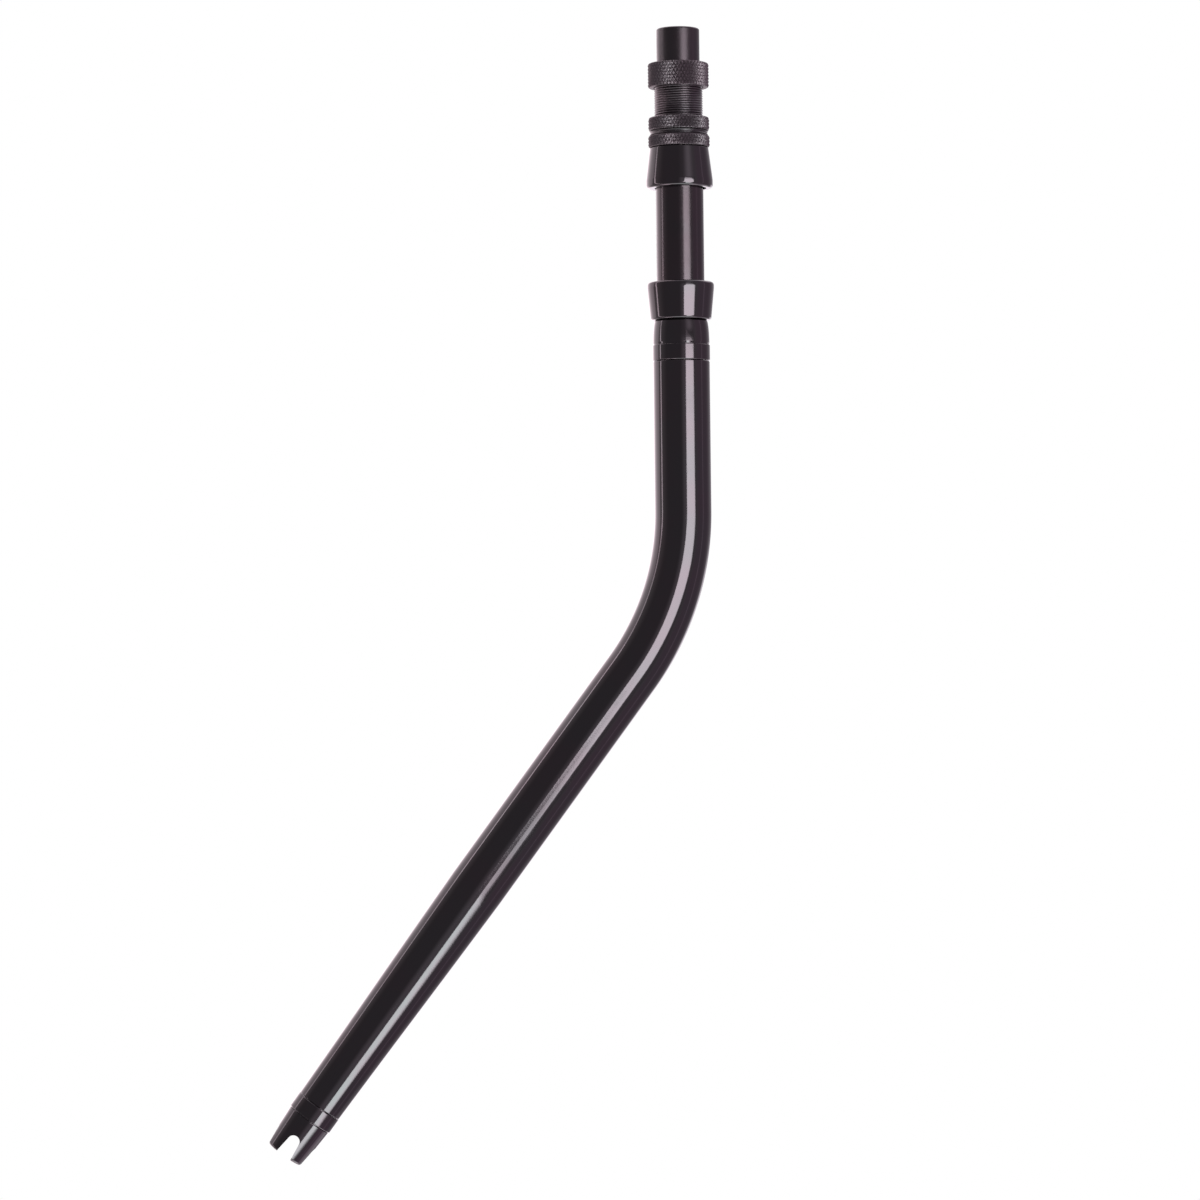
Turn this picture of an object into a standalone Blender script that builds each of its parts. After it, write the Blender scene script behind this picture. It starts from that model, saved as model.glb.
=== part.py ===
"""Bent rod butt with a reel seat: slotted gimbal, bent tube, two hoods, lock rings, a ferrule and its nut.

Metres, +Z up. The rod's axis is parallel to +Z, the tube bends in the XZ plane, and the origin is the centre
of the gimbal's end. The reel sits on the +X side. Heights called stations are measured up the rod's axis
from the point where it meets the axis of the lower leg.
"""

import math

import bmesh
import bpy
from mathutils import Vector

MM = 0.001

# Fits
GAP = 0.3 * MM  # between faces that touch or slide
CUT_PAST = 2.0 * MM  # how far a cutter runs past what it cuts

# Tube and bend
TUBE_DIAMETER = 31.75 * MM
TUBE_WALL = 3.175 * MM
BEND_RADIUS = 152.4 * MM
BEND_ANGLE = math.radians(36.44)
UPPER_STRAIGHT = 84.1 * MM
LOWER_STRAIGHT = 148.6 * MM
TAPER_LENGTH = 150.0 * MM
TAPER_END_DIAMETER = 26.4 * MM

# Gimbal
GIMBAL_LENGTH = 33.2 * MM
GIMBAL_BAND_DIAMETER = TAPER_END_DIAMETER + 0.4 * MM
GIMBAL_BAND_LENGTH = 9.0 * MM
GIMBAL_NECK_DIAMETER = TAPER_END_DIAMETER - 0.6 * MM
GIMBAL_END_DIAMETER = TAPER_END_DIAMETER - 3.2 * MM
GIMBAL_EDGE = 1.0 * MM
GIMBAL_SPIGOT_LENGTH = 30.0 * MM
SLOT_MOUTH_WIDTH = 9.3 * MM
SLOT_ROOT_WIDTH = 7.0 * MM
SLOT_DEPTH = 13.2 * MM

# Seat barrel
BARREL_DIAMETER = 26.8 * MM
BARREL_WALL = 2.85 * MM
BARREL_BORE = BARREL_DIAMETER - 2 * BARREL_WALL
BARREL_SPIGOT_LENGTH = 42.0 * MM
THREAD_DIAMETER = BARREL_DIAMETER + 0.4 * MM
THREAD_LENGTH = 60.0 * MM
KEYWAY_WIDTH = 3.0 * MM
KEYWAY_DEPTH = 1.5 * MM
FERRULE_SLOT_DEPTH = 6.0 * MM

# Collar
COLLAR_LENGTH = 22.7 * MM
COLLAR_BAND_DIAMETER = TUBE_DIAMETER + 0.35 * MM
COLLAR_BAND_LENGTH = 9.0 * MM
COLLAR_SHOULDER_DIAMETER = TUBE_DIAMETER - 0.15 * MM
COLLAR_TOP_DIAMETER = BARREL_DIAMETER + 1.9 * MM

# Hoods
HOOD_LIP_DIAMETER = BARREL_DIAMETER + 10.7 * MM
HOOD_EDGE = 1.0 * MM
HOOD_WALL_AT_POCKET = 1.3 * MM
POCKET_DEPTH = 14.0 * MM
POCKET_SWEEP = math.radians(76.0)
LOWER_HOOD_LENGTH = 21.3 * MM
LOWER_HOOD_BASE_DIAMETER = BARREL_DIAMETER + 7.2 * MM
LOWER_HOOD_LIP_LENGTH = 3.0 * MM
REEL_GAP = 53.1 * MM
UPPER_HOOD_LENGTH = 22.8 * MM
UPPER_HOOD_TOP_DIAMETER = THREAD_DIAMETER + 5.7 * MM
UPPER_HOOD_LIP_LENGTH = 4.5 * MM
HOOD_KEY_LENGTH = 10.0 * MM
HOOD_KEY_SEAT = 1.4 * MM

# Rings and washers
RING_EDGE = 0.6 * MM
CLAMP_RING_DIAMETER = THREAD_DIAMETER + 7.5 * MM
CLAMP_RING_LENGTH = 6.6 * MM
JAM_RING_DIAMETER = THREAD_DIAMETER + 7.2 * MM
JAM_RING_LENGTH = 7.6 * MM
JAM_WASHER_DIAMETER = THREAD_DIAMETER + 5.0 * MM
JAM_WASHER_WAIST = THREAD_DIAMETER + 3.8 * MM
JAM_WASHER_THICKNESS = 2.1 * MM
THRUST_WASHER_WIDTH = 1.2 * MM
THRUST_WASHER_THICKNESS = 1.5 * MM
THREAD_SHOWING = 16.8 * MM

# Ferrule and nut
NUT_DIAMETER = THREAD_DIAMETER + 7.2 * MM
NUT_LENGTH = 13.8 * MM
NUT_LIP = 1.6 * MM
SLIP_WASHER_THICKNESS = 1.0 * MM
FERRULE_SPIGOT_WALL = 1.5 * MM
FERRULE_BORE = BARREL_BORE - 2 * (GAP + FERRULE_SPIGOT_WALL)
FERRULE_DIAMETER = FERRULE_BORE + 6.7 * MM
FERRULE_SHOWING = 19.7 * MM
FERRULE_EDGE = 1.0 * MM
FLANGE_THICKNESS = 2.0 * MM
FERRULE_SPIGOT_LENGTH = 60.0 * MM
FERRULE_NOSE_LENGTH = 8.0 * MM
FERRULE_KEY_SEAT = 0.9 * MM
FERRULE_KEY_LENGTH = 5.0 * MM
O_RING_SECTION = 1.1 * MM

# Pins and the set screw
PIN_DIAMETER = 4.0 * MM
PIN_SINK = 0.2 * MM
PIN_FROM_END = 15.0 * MM
SCREW_BITE = 1.2 * MM
SCREW_HEIGHT = 8.0 * MM

# Facets
SEGMENTS = 32
PIN_SEGMENTS = 12
BEND_STEPS = 14
ARC_STEPS = 4

# Places that follow from the sizes above
TUBE_RADIUS = TUBE_DIAMETER / 2
BEND_TANGENT = BEND_RADIUS * math.tan(BEND_ANGLE / 2)
LEG_LENGTH = GIMBAL_LENGTH + GAP + TAPER_LENGTH + LOWER_STRAIGHT + BEND_TANGENT
LEG_DIRECTION = Vector((math.sin(BEND_ANGLE), 0.0, math.cos(BEND_ANGLE)))
AXES_MEET = LEG_DIRECTION * LEG_LENGTH

TUBE_TOP = BEND_TANGENT + UPPER_STRAIGHT
COLLAR_BASE = TUBE_TOP + GAP
LOWER_HOOD_BASE = COLLAR_BASE + COLLAR_LENGTH + GAP
LOWER_HOOD_TOP = LOWER_HOOD_BASE + LOWER_HOOD_LENGTH
UPPER_HOOD_BASE = LOWER_HOOD_TOP + REEL_GAP
UPPER_HOOD_TOP = UPPER_HOOD_BASE + UPPER_HOOD_LENGTH
CLAMP_RING_BASE = UPPER_HOOD_TOP + GAP
JAM_WASHER_BASE = CLAMP_RING_BASE + CLAMP_RING_LENGTH + GAP
JAM_RING_BASE = JAM_WASHER_BASE + JAM_WASHER_THICKNESS + GAP
NUT_BASE = JAM_RING_BASE + JAM_RING_LENGTH + THREAD_SHOWING
NUT_TOP = NUT_BASE + NUT_LENGTH
SLIP_WASHER_BASE = NUT_TOP - NUT_LIP - GAP - SLIP_WASHER_THICKNESS
FLANGE_TOP = SLIP_WASHER_BASE - GAP
FLANGE_BASE = FLANGE_TOP - FLANGE_THICKNESS
BARREL_TOP = FLANGE_BASE - GAP
FERRULE_TOP = NUT_TOP + FERRULE_SHOWING

# Radii that one piece gives to the next
PIN_HOLE_RADIUS = PIN_DIAMETER / 2 + GAP
BARREL_RADIUS = BARREL_DIAMETER / 2
THREAD_RADIUS = THREAD_DIAMETER / 2
RING_BORE_RADIUS = THREAD_RADIUS + GAP
KEYWAY_FLOOR = THREAD_RADIUS - KEYWAY_DEPTH
KEY_WIDTH = KEYWAY_WIDTH - 2 * GAP
HOOD_LIP_RADIUS = HOOD_LIP_DIAMETER / 2
LIP_BORE_RADIUS = FERRULE_DIAMETER / 2 + GAP
SPIGOT_RADIUS = BARREL_BORE / 2 - GAP
THRUST_WASHER_RADIUS = RING_BORE_RADIUS + THRUST_WASHER_WIDTH


# ---- building ----

def clear_scene():
    for obj in list(bpy.data.objects):
        bpy.data.objects.remove(obj, do_unlink=True)


def metal(name, color, roughness, metallic=1.0):
    material = bpy.data.materials.new(name)
    material.use_nodes = True
    shader = material.node_tree.nodes["Principled BSDF"]
    shader.inputs["Base Color"].default_value = (*color, 1.0)
    shader.inputs["Roughness"].default_value = roughness
    shader.inputs["Metallic"].default_value = metallic
    return material


def add_object(name, bm, parent, material=None, place=(0.0, 0.0, 0.0)):
    bmesh.ops.remove_doubles(bm, verts=bm.verts, dist=GAP / 1000)
    bmesh.ops.recalc_face_normals(bm, faces=bm.faces)
    mesh = bpy.data.meshes.new(name)
    bm.to_mesh(mesh)
    bm.free()
    obj = bpy.data.objects.new(name, mesh)
    bpy.context.scene.collection.objects.link(obj)
    obj.parent = parent
    obj.location = place
    if material is None:
        obj.hide_render = True
        obj.display_type = "WIRE"
    else:
        mesh.materials.append(material)
        mesh.shade_smooth()
        mesh.set_sharp_from_angle(angle=math.radians(30))
    return obj


def axis_empty(name, place, turn):
    empty = bpy.data.objects.new(name, None)
    bpy.context.scene.collection.objects.link(empty)
    empty.location = place
    empty.rotation_euler = (0.0, turn, 0.0)
    return empty


def turned(name, outline, parent, material=None, station=0.0, segments=SEGMENTS):
    """A solid turned about the parent's Z. Its (radius, height) points close a ring, or run from 0 to 0."""
    bm = bmesh.new()
    points = [bm.verts.new((radius, 0.0, height)) for radius, height in outline]
    edges = [bm.edges.new(pair) for pair in zip(points, points[1:])]
    if outline[0][0] > 0:
        edges.append(bm.edges.new((points[-1], points[0])))
    turn = {"cent": (0, 0, 0), "axis": (0, 0, 1), "angle": math.tau, "steps": segments, "use_merge": True}
    bmesh.ops.spin(bm, geom=points + edges, **turn)
    return add_object(name, bm, parent, material, (0.0, 0.0, station))


def box(name, low, high, parent, material=None, station=0.0):
    bm = bmesh.new()
    bmesh.ops.create_cube(bm, size=1.0)
    for vert in bm.verts:
        for axis in range(3):
            vert.co[axis] = low[axis] if vert.co[axis] < 0 else high[axis]
    return add_object(name, bm, parent, material, (0.0, 0.0, station))


def sector(name, inner, outer, low, high, sweep, parent, station=0.0):
    """A cutter: a piece of a thick ring, centred on +X."""
    bm = bmesh.new()
    steps = round(SEGMENTS * sweep / math.tau) + 1
    slices = []
    for step in range(steps + 1):
        angle = sweep * (step / steps - 0.5)
        ring = ((inner, low), (outer, low), (outer, high), (inner, high))
        slices.append([bm.verts.new((r * math.cos(angle), r * math.sin(angle), z)) for r, z in ring])
    for this, following in zip(slices, slices[1:]):
        for side in range(4):
            other = (side + 1) % 4
            bm.faces.new((this[side], this[other], following[other], following[side]))
    bm.faces.new(slices[0])
    bm.faces.new(slices[-1])
    return add_object(name, bm, parent, None, (0.0, 0.0, station))


def back_pin(name, inner, outer, parent, material=None, station=0.0, radius=PIN_DIAMETER / 2):
    """A round pin, or its hole's cutter, along +Y between two distances off the axis."""
    bm = bmesh.new()
    rims = []
    for reach in (inner, outer):
        angles = [math.tau * (step + 0.5) / PIN_SEGMENTS for step in range(PIN_SEGMENTS)]
        rims.append([bm.verts.new((radius * math.cos(a), reach, radius * math.sin(a))) for a in angles])
    for step in range(PIN_SEGMENTS):
        following = (step + 1) % PIN_SEGMENTS
        bm.faces.new((rims[0][step], rims[0][following], rims[1][following], rims[1][step]))
    bm.faces.new(rims[0])
    bm.faces.new(rims[1])
    return add_object(name, bm, parent, material, (0.0, 0.0, station))


def boolean(target, operation, *others):
    for other in others:
        modifier = target.modifiers.new(f"{operation.lower()} {other.name}", "BOOLEAN")
        modifier.operation = operation
        modifier.object = other
        modifier.solver = "EXACT"


def rounded(radius, height, edge, side):
    """Points of a rounded outer edge, from wall to end face. side is +1 at the top, -1 at the bottom."""
    quarter = math.pi / 2
    angles = [quarter * step / ARC_STEPS for step in range(ARC_STEPS + 1)]
    return [(radius - edge + edge * math.cos(a), height + side * edge * (math.sin(a) - 1)) for a in angles]


# ---- tube and gimbal ----

def tube_stations():
    """(centre, lean, outer radius) along the tube, from its lower end up. Lean is the turn from +Z."""
    end_radius = TAPER_END_DIAMETER / 2
    start = GIMBAL_LENGTH + GAP
    stations = [(LEG_DIRECTION * start, BEND_ANGLE, end_radius)]
    stations.append((LEG_DIRECTION * (start + TAPER_LENGTH), BEND_ANGLE, TUBE_RADIUS))
    bend_centre = AXES_MEET + Vector((-BEND_RADIUS, 0.0, BEND_TANGENT))
    for step in range(BEND_STEPS + 1):
        lean = BEND_ANGLE * (1 - step / BEND_STEPS)
        across = Vector((math.cos(lean), 0.0, -math.sin(lean)))
        centre = bend_centre + across * BEND_RADIUS
        stations.append((centre, lean, TUBE_RADIUS))
    stations.append((AXES_MEET + Vector((0.0, 0.0, TUBE_TOP)), 0.0, TUBE_RADIUS))
    return stations


def ring_points(bm, centre, lean, radius):
    across = Vector((math.cos(lean), 0.0, -math.sin(lean)))
    points = []
    for step in range(SEGMENTS):
        angle = math.tau * step / SEGMENTS
        offset = across * math.cos(angle) + Vector((0.0, math.sin(angle), 0.0))
        points.append(bm.verts.new(centre + offset * radius))
    return points


def bridge(bm, ring_a, ring_b):
    for step in range(SEGMENTS):
        following = (step + 1) % SEGMENTS
        bm.faces.new((ring_a[step], ring_a[following], ring_b[following], ring_b[step]))


def make_tube(material):
    bm = bmesh.new()
    outer = [ring_points(bm, *station) for station in tube_stations()]
    inner = [ring_points(bm, centre, lean, radius - TUBE_WALL) for centre, lean, radius in tube_stations()]
    for wall in (outer, inner):
        for ring_a, ring_b in zip(wall, wall[1:]):
            bridge(bm, ring_a, ring_b)
    bridge(bm, outer[0], inner[0])
    bridge(bm, outer[-1], inner[-1])
    return add_object("butt_tube", bm, None, material)


def slot_cutter(name, parent, turn):
    """A slot across the gimbal's end: straight flanks that open towards the mouth, and a round root."""
    root = SLOT_ROOT_WIDTH / 2
    mouth = SLOT_MOUTH_WIDTH / 2
    root_height = SLOT_DEPTH - root
    slope = (mouth - root) / root_height
    outline = [(mouth + slope * CUT_PAST, -CUT_PAST)]
    for step in range(2 * ARC_STEPS + 1):
        angle = math.pi * step / (2 * ARC_STEPS)
        outline.append((root * math.cos(angle), root_height + root * math.sin(angle)))
    outline.append((-outline[0][0], -CUT_PAST))
    bm = bmesh.new()
    half_run = GIMBAL_BAND_DIAMETER / 2 + CUT_PAST
    sides = []
    for run in (-half_run, half_run):
        sides.append([bm.verts.new((x, run, z)) for x, z in outline])
    count = len(outline)
    for step in range(count):
        following = (step + 1) % count
        bm.faces.new((sides[0][step], sides[0][following], sides[1][following], sides[1][step]))
    bm.faces.new(sides[0])
    bm.faces.new(sides[1])
    cutter = add_object(name, bm, parent)
    cutter.rotation_euler = (0.0, 0.0, turn)
    return cutter


def make_gimbal(leg_axis, material):
    spigot = TAPER_END_DIAMETER / 2 - TUBE_WALL - GAP
    neck_height = GIMBAL_LENGTH - GIMBAL_BAND_LENGTH
    outline = [(0.0, 0.0)]
    outline += rounded(GIMBAL_END_DIAMETER / 2, 0.0, GIMBAL_EDGE, -1)[::-1]
    outline += [
        (GIMBAL_NECK_DIAMETER / 2, neck_height),
        (GIMBAL_BAND_DIAMETER / 2, neck_height),
        (GIMBAL_BAND_DIAMETER / 2, GIMBAL_LENGTH),
        (spigot, GIMBAL_LENGTH),
        (spigot, GIMBAL_LENGTH + GIMBAL_SPIGOT_LENGTH),
        (0.0, GIMBAL_LENGTH + GIMBAL_SPIGOT_LENGTH),
    ]
    gimbal = turned("gimbal", outline, leg_axis, material)
    boolean(gimbal, "DIFFERENCE", slot_cutter("cut_slot_through", leg_axis, 0.0))
    boolean(gimbal, "DIFFERENCE", slot_cutter("cut_slot_across", leg_axis, math.pi / 2))
    return gimbal


def make_gimbal_pin(leg_axis, tube, gimbal, material):
    height = GIMBAL_LENGTH + PIN_FROM_END
    slope = (TUBE_RADIUS - TAPER_END_DIAMETER / 2) / TAPER_LENGTH
    skin = TAPER_END_DIAMETER / 2 + slope * PIN_FROM_END
    depth = skin - TUBE_WALL - PIN_DIAMETER
    back_pin("gimbal_pin", depth + GAP, skin - PIN_SINK, leg_axis, material, height)
    hole = back_pin("cut_gimbal_pin", depth, skin + CUT_PAST, leg_axis, None, height, PIN_HOLE_RADIUS)
    boolean(tube, "DIFFERENCE", hole)
    boolean(gimbal, "DIFFERENCE", hole)


# ---- seat barrel and what is fixed to it ----

def make_barrel(seat_axis, material):
    base = TUBE_TOP - BARREL_SPIGOT_LENGTH
    spigot = TUBE_RADIUS - TUBE_WALL - GAP
    neck = min(spigot, BARREL_RADIUS) - GAP  # a relief at the shoulder
    bore = BARREL_BORE / 2
    outline = [
        (bore, base),
        (spigot, base),
        (spigot, TUBE_TOP),
        (neck, TUBE_TOP),
        (neck, TUBE_TOP + GAP),
        (BARREL_RADIUS, TUBE_TOP + GAP),
        (BARREL_RADIUS, BARREL_TOP - THREAD_LENGTH),
        (THREAD_RADIUS, BARREL_TOP - THREAD_LENGTH),
        (THREAD_RADIUS, BARREL_TOP),
        (bore, BARREL_TOP),
    ]
    barrel = turned("seat_barrel", outline, seat_axis, material)
    half = KEYWAY_WIDTH / 2
    keyway_start = LOWER_HOOD_TOP + KEYWAY_WIDTH
    above = BARREL_TOP + CUT_PAST
    outside = THREAD_RADIUS + CUT_PAST
    keyway = box("cut_keyway", (-outside, -half, keyway_start), (-KEYWAY_FLOOR, half, above), seat_axis)
    slot_floor = BARREL_TOP - FERRULE_SLOT_DEPTH
    slot = box("cut_ferrule_slot", (-half, bore - CUT_PAST, slot_floor), (half, outside, above), seat_axis)
    boolean(barrel, "DIFFERENCE", keyway, slot)
    return barrel


def make_barrel_pin(seat_axis, tube, barrel, material):
    station = TUBE_TOP - PIN_FROM_END
    back_pin("barrel_pin", BARREL_BORE / 2 + GAP, TUBE_RADIUS - PIN_SINK, seat_axis, material, station)
    inner = BARREL_BORE / 2 - CUT_PAST
    outer = TUBE_RADIUS + CUT_PAST
    hole = back_pin("cut_barrel_pin", inner, outer, seat_axis, None, station, PIN_HOLE_RADIUS)
    boolean(tube, "DIFFERENCE", hole)
    boolean(barrel, "DIFFERENCE", hole)


def make_collar(seat_axis, material):
    bore = BARREL_RADIUS + GAP
    band = COLLAR_BAND_DIAMETER / 2
    shoulder = COLLAR_SHOULDER_DIAMETER / 2
    top = COLLAR_TOP_DIAMETER / 2
    crown = COLLAR_LENGTH - COLLAR_BAND_LENGTH
    outline = [(bore, 0.0), (band, 0.0), (band, COLLAR_BAND_LENGTH)]
    for step in range(ARC_STEPS + 1):
        angle = math.pi / 2 * step / ARC_STEPS
        radius = top + (shoulder - top) * math.cos(angle)
        outline.append((radius, COLLAR_BAND_LENGTH + crown * math.sin(angle)))
    outline.append((bore, COLLAR_LENGTH))
    return turned("seat_collar", outline, seat_axis, material, COLLAR_BASE)


def pocket_cutter(name, lip_height, towards_body, body_radius_at_end, seat_axis, station):
    """The space for one end of the reel's foot, open at the hood's lip."""
    reach = body_radius_at_end - HOOD_WALL_AT_POCKET
    low, high = sorted((lip_height - towards_body * CUT_PAST, lip_height + towards_body * POCKET_DEPTH))
    return sector(name, BARREL_RADIUS - CUT_PAST, reach, low, high, POCKET_SWEEP, seat_axis, station)


def make_lower_hood(seat_axis, material):
    bore = BARREL_RADIUS + GAP
    base = LOWER_HOOD_BASE_DIAMETER / 2
    cone_top = LOWER_HOOD_LENGTH - LOWER_HOOD_LIP_LENGTH
    outline = [(bore, 0.0)]
    outline += rounded(base, 0.0, HOOD_EDGE, -1)[::-1]
    outline.append((HOOD_LIP_RADIUS, cone_top))
    outline += rounded(HOOD_LIP_RADIUS, LOWER_HOOD_LENGTH, HOOD_EDGE, 1)
    outline.append((bore, LOWER_HOOD_LENGTH))
    hood = turned("lower_hood", outline, seat_axis, material, LOWER_HOOD_BASE)
    slope = (HOOD_LIP_RADIUS - base) / cone_top
    radius_at_end = base + slope * (LOWER_HOOD_LENGTH - POCKET_DEPTH)
    mouth = (LOWER_HOOD_LENGTH, -1)
    pocket = pocket_cutter("cut_lower_pocket", *mouth, radius_at_end, seat_axis, LOWER_HOOD_BASE)
    boolean(hood, "DIFFERENCE", pocket)
    return hood


def make_hood_screw(seat_axis, hood, barrel, material):
    base = LOWER_HOOD_BASE_DIAMETER / 2
    station = LOWER_HOOD_BASE + SCREW_HEIGHT
    floor = BARREL_RADIUS - SCREW_BITE
    back_pin("hood_screw", floor + GAP, base - PIN_SINK, seat_axis, material, station)
    outside = HOOD_LIP_RADIUS + CUT_PAST
    hole = back_pin("cut_hood_screw", floor, outside, seat_axis, None, station, PIN_HOLE_RADIUS)
    boolean(hood, "DIFFERENCE", hole)
    boolean(barrel, "DIFFERENCE", hole)


# ---- sliding hood, rings and washers ----

def make_upper_hood(seat_axis, material):
    bore = RING_BORE_RADIUS
    top = UPPER_HOOD_TOP_DIAMETER / 2
    seat_radius = THRUST_WASHER_RADIUS + GAP
    seat_floor = UPPER_HOOD_LENGTH - THRUST_WASHER_THICKNESS - GAP
    outline = [(bore, 0.0)]
    outline += rounded(HOOD_LIP_RADIUS, 0.0, HOOD_EDGE, -1)[::-1]
    outline += [
        (HOOD_LIP_RADIUS, UPPER_HOOD_LIP_LENGTH),
        (top, UPPER_HOOD_LENGTH),
        (seat_radius, UPPER_HOOD_LENGTH),
        (seat_radius, seat_floor),
        (bore, seat_floor),
    ]
    hood = turned("upper_hood", outline, seat_axis, material, UPPER_HOOD_BASE)
    slope = (HOOD_LIP_RADIUS - top) / (UPPER_HOOD_LENGTH - UPPER_HOOD_LIP_LENGTH)
    radius_at_end = HOOD_LIP_RADIUS - slope * (POCKET_DEPTH - UPPER_HOOD_LIP_LENGTH)
    pocket = pocket_cutter("cut_upper_pocket", 0.0, 1, radius_at_end, seat_axis, UPPER_HOOD_BASE)
    boolean(hood, "DIFFERENCE", pocket)
    return hood


def make_hood_key(seat_axis, hood, material):
    outer = RING_BORE_RADIUS + HOOD_KEY_SEAT
    half = KEY_WIDTH / 2
    low = (UPPER_HOOD_LENGTH - HOOD_KEY_LENGTH) / 2
    high = low + HOOD_KEY_LENGTH
    corners = ((-outer, -half, low), (-KEYWAY_FLOOR - GAP, half, high))
    box("hood_key", *corners, seat_axis, material, UPPER_HOOD_BASE)
    wide = half + GAP
    inner = RING_BORE_RADIUS - CUT_PAST
    corners = ((-outer - GAP, -wide, low - GAP), (-inner, wide, high + GAP))
    seat = box("cut_hood_key", *corners, seat_axis, None, UPPER_HOOD_BASE)
    boolean(hood, "DIFFERENCE", seat)


def tongued_washer(name, outline, thickness, seat_axis, material, station):
    """A turned washer with a tongue that runs in the barrel's keyway."""
    washer = turned(name, outline, seat_axis, material, station)
    half = KEY_WIDTH / 2
    overlap = THRUST_WASHER_WIDTH / 2
    low = (-RING_BORE_RADIUS - overlap, -half, 0.0)
    tongue = box(f"join_{name}", low, (-KEYWAY_FLOOR - GAP, half, thickness), seat_axis, None, station)
    boolean(washer, "UNION", tongue)
    return washer


def make_thrust_washer(seat_axis, material):
    station = UPPER_HOOD_TOP - THRUST_WASHER_THICKNESS
    thickness = THRUST_WASHER_THICKNESS
    outer = THRUST_WASHER_RADIUS
    outline = [(RING_BORE_RADIUS, 0.0), (outer, 0.0), (outer, thickness), (RING_BORE_RADIUS, thickness)]
    return tongued_washer("thrust_washer", outline, thickness, seat_axis, material, station)


def make_jam_washer(seat_axis, material):
    thickness = JAM_WASHER_THICKNESS
    outer = JAM_WASHER_DIAMETER / 2
    waist = JAM_WASHER_WAIST / 2
    bore = RING_BORE_RADIUS
    outline = [(bore, 0.0), (outer, 0.0), (waist, thickness / 2), (outer, thickness), (bore, thickness)]
    return tongued_washer("jam_washer", outline, thickness, seat_axis, material, JAM_WASHER_BASE)


def make_ring(name, diameter, length, seat_axis, material, station):
    outer = diameter / 2
    outline = [
        (RING_BORE_RADIUS, 0.0),
        (outer - RING_EDGE, 0.0),
        (outer, RING_EDGE),
        (outer, length - RING_EDGE),
        (outer - RING_EDGE, length),
        (RING_BORE_RADIUS, length),
    ]
    return turned(name, outline, seat_axis, material, station)


# ---- ferrule and nut ----

def make_ferrule(seat_axis, material):
    base = FLANGE_BASE - FERRULE_SPIGOT_LENGTH
    groove_middle = base + FERRULE_NOSE_LENGTH / 2
    groove_half = O_RING_SECTION / 2 + GAP
    groove_floor = SPIGOT_RADIUS - O_RING_SECTION - GAP
    outer = FERRULE_DIAMETER / 2
    bore = FERRULE_BORE / 2
    outline = [
        (0.0, base),
        (SPIGOT_RADIUS, base),
        (SPIGOT_RADIUS, groove_middle - groove_half),
        (groove_floor, groove_middle - groove_half),
        (groove_floor, groove_middle + groove_half),
        (SPIGOT_RADIUS, groove_middle + groove_half),
        (SPIGOT_RADIUS, FLANGE_BASE),
        (THREAD_RADIUS, FLANGE_BASE),
        (THREAD_RADIUS, FLANGE_TOP),
        (outer, FLANGE_TOP),
    ]
    outline += rounded(outer, FERRULE_TOP, FERRULE_EDGE, 1)
    outline += [(bore, FERRULE_TOP), (bore, base + FERRULE_NOSE_LENGTH), (0.0, base + FERRULE_NOSE_LENGTH)]
    return turned("rod_ferrule", outline, seat_axis, material)


def make_o_ring(seat_axis, material):
    middle = FLANGE_BASE - FERRULE_SPIGOT_LENGTH + FERRULE_NOSE_LENGTH / 2
    radius = O_RING_SECTION / 2
    centre = SPIGOT_RADIUS - radius
    sides = 2 * ARC_STEPS
    angles = [math.tau * step / sides for step in range(sides)]
    outline = [(centre + radius * math.cos(a), radius * math.sin(a)) for a in angles]
    return turned("ferrule_o_ring", outline, seat_axis, material, middle)


def make_ferrule_key(seat_axis, ferrule, material):
    half = KEY_WIDTH / 2
    floor = SPIGOT_RADIUS - FERRULE_KEY_SEAT
    low = FLANGE_BASE - GAP - FERRULE_KEY_LENGTH
    high = FLANGE_BASE - GAP
    box("ferrule_key", (-half, floor + GAP, low), (half, THREAD_RADIUS - GAP, high), seat_axis, material)
    wide = half + GAP
    outside = THREAD_RADIUS + CUT_PAST
    seat = box("cut_ferrule_key", (-wide, floor, low - GAP), (wide, outside, FLANGE_BASE), seat_axis)
    boolean(ferrule, "DIFFERENCE", seat)


def make_slip_washer(seat_axis, material):
    inner = LIP_BORE_RADIUS
    outer = THREAD_RADIUS
    thickness = SLIP_WASHER_THICKNESS
    outline = [(inner, 0.0), (outer, 0.0), (outer, thickness), (inner, thickness)]
    return turned("slip_washer", outline, seat_axis, material, SLIP_WASHER_BASE)


def make_nut(seat_axis, material):
    outer = NUT_DIAMETER / 2
    cavity = RING_BORE_RADIUS
    lip_height = NUT_LENGTH - NUT_LIP
    outline = [
        (cavity, 0.0),
        (outer - RING_EDGE, 0.0),
        (outer, RING_EDGE),
        (outer, NUT_LENGTH - RING_EDGE),
        (outer - RING_EDGE, NUT_LENGTH),
        (LIP_BORE_RADIUS, NUT_LENGTH),
        (LIP_BORE_RADIUS, lip_height),
        (cavity, lip_height),
    ]
    return turned("ferrule_nut", outline, seat_axis, material, NUT_BASE)


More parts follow.
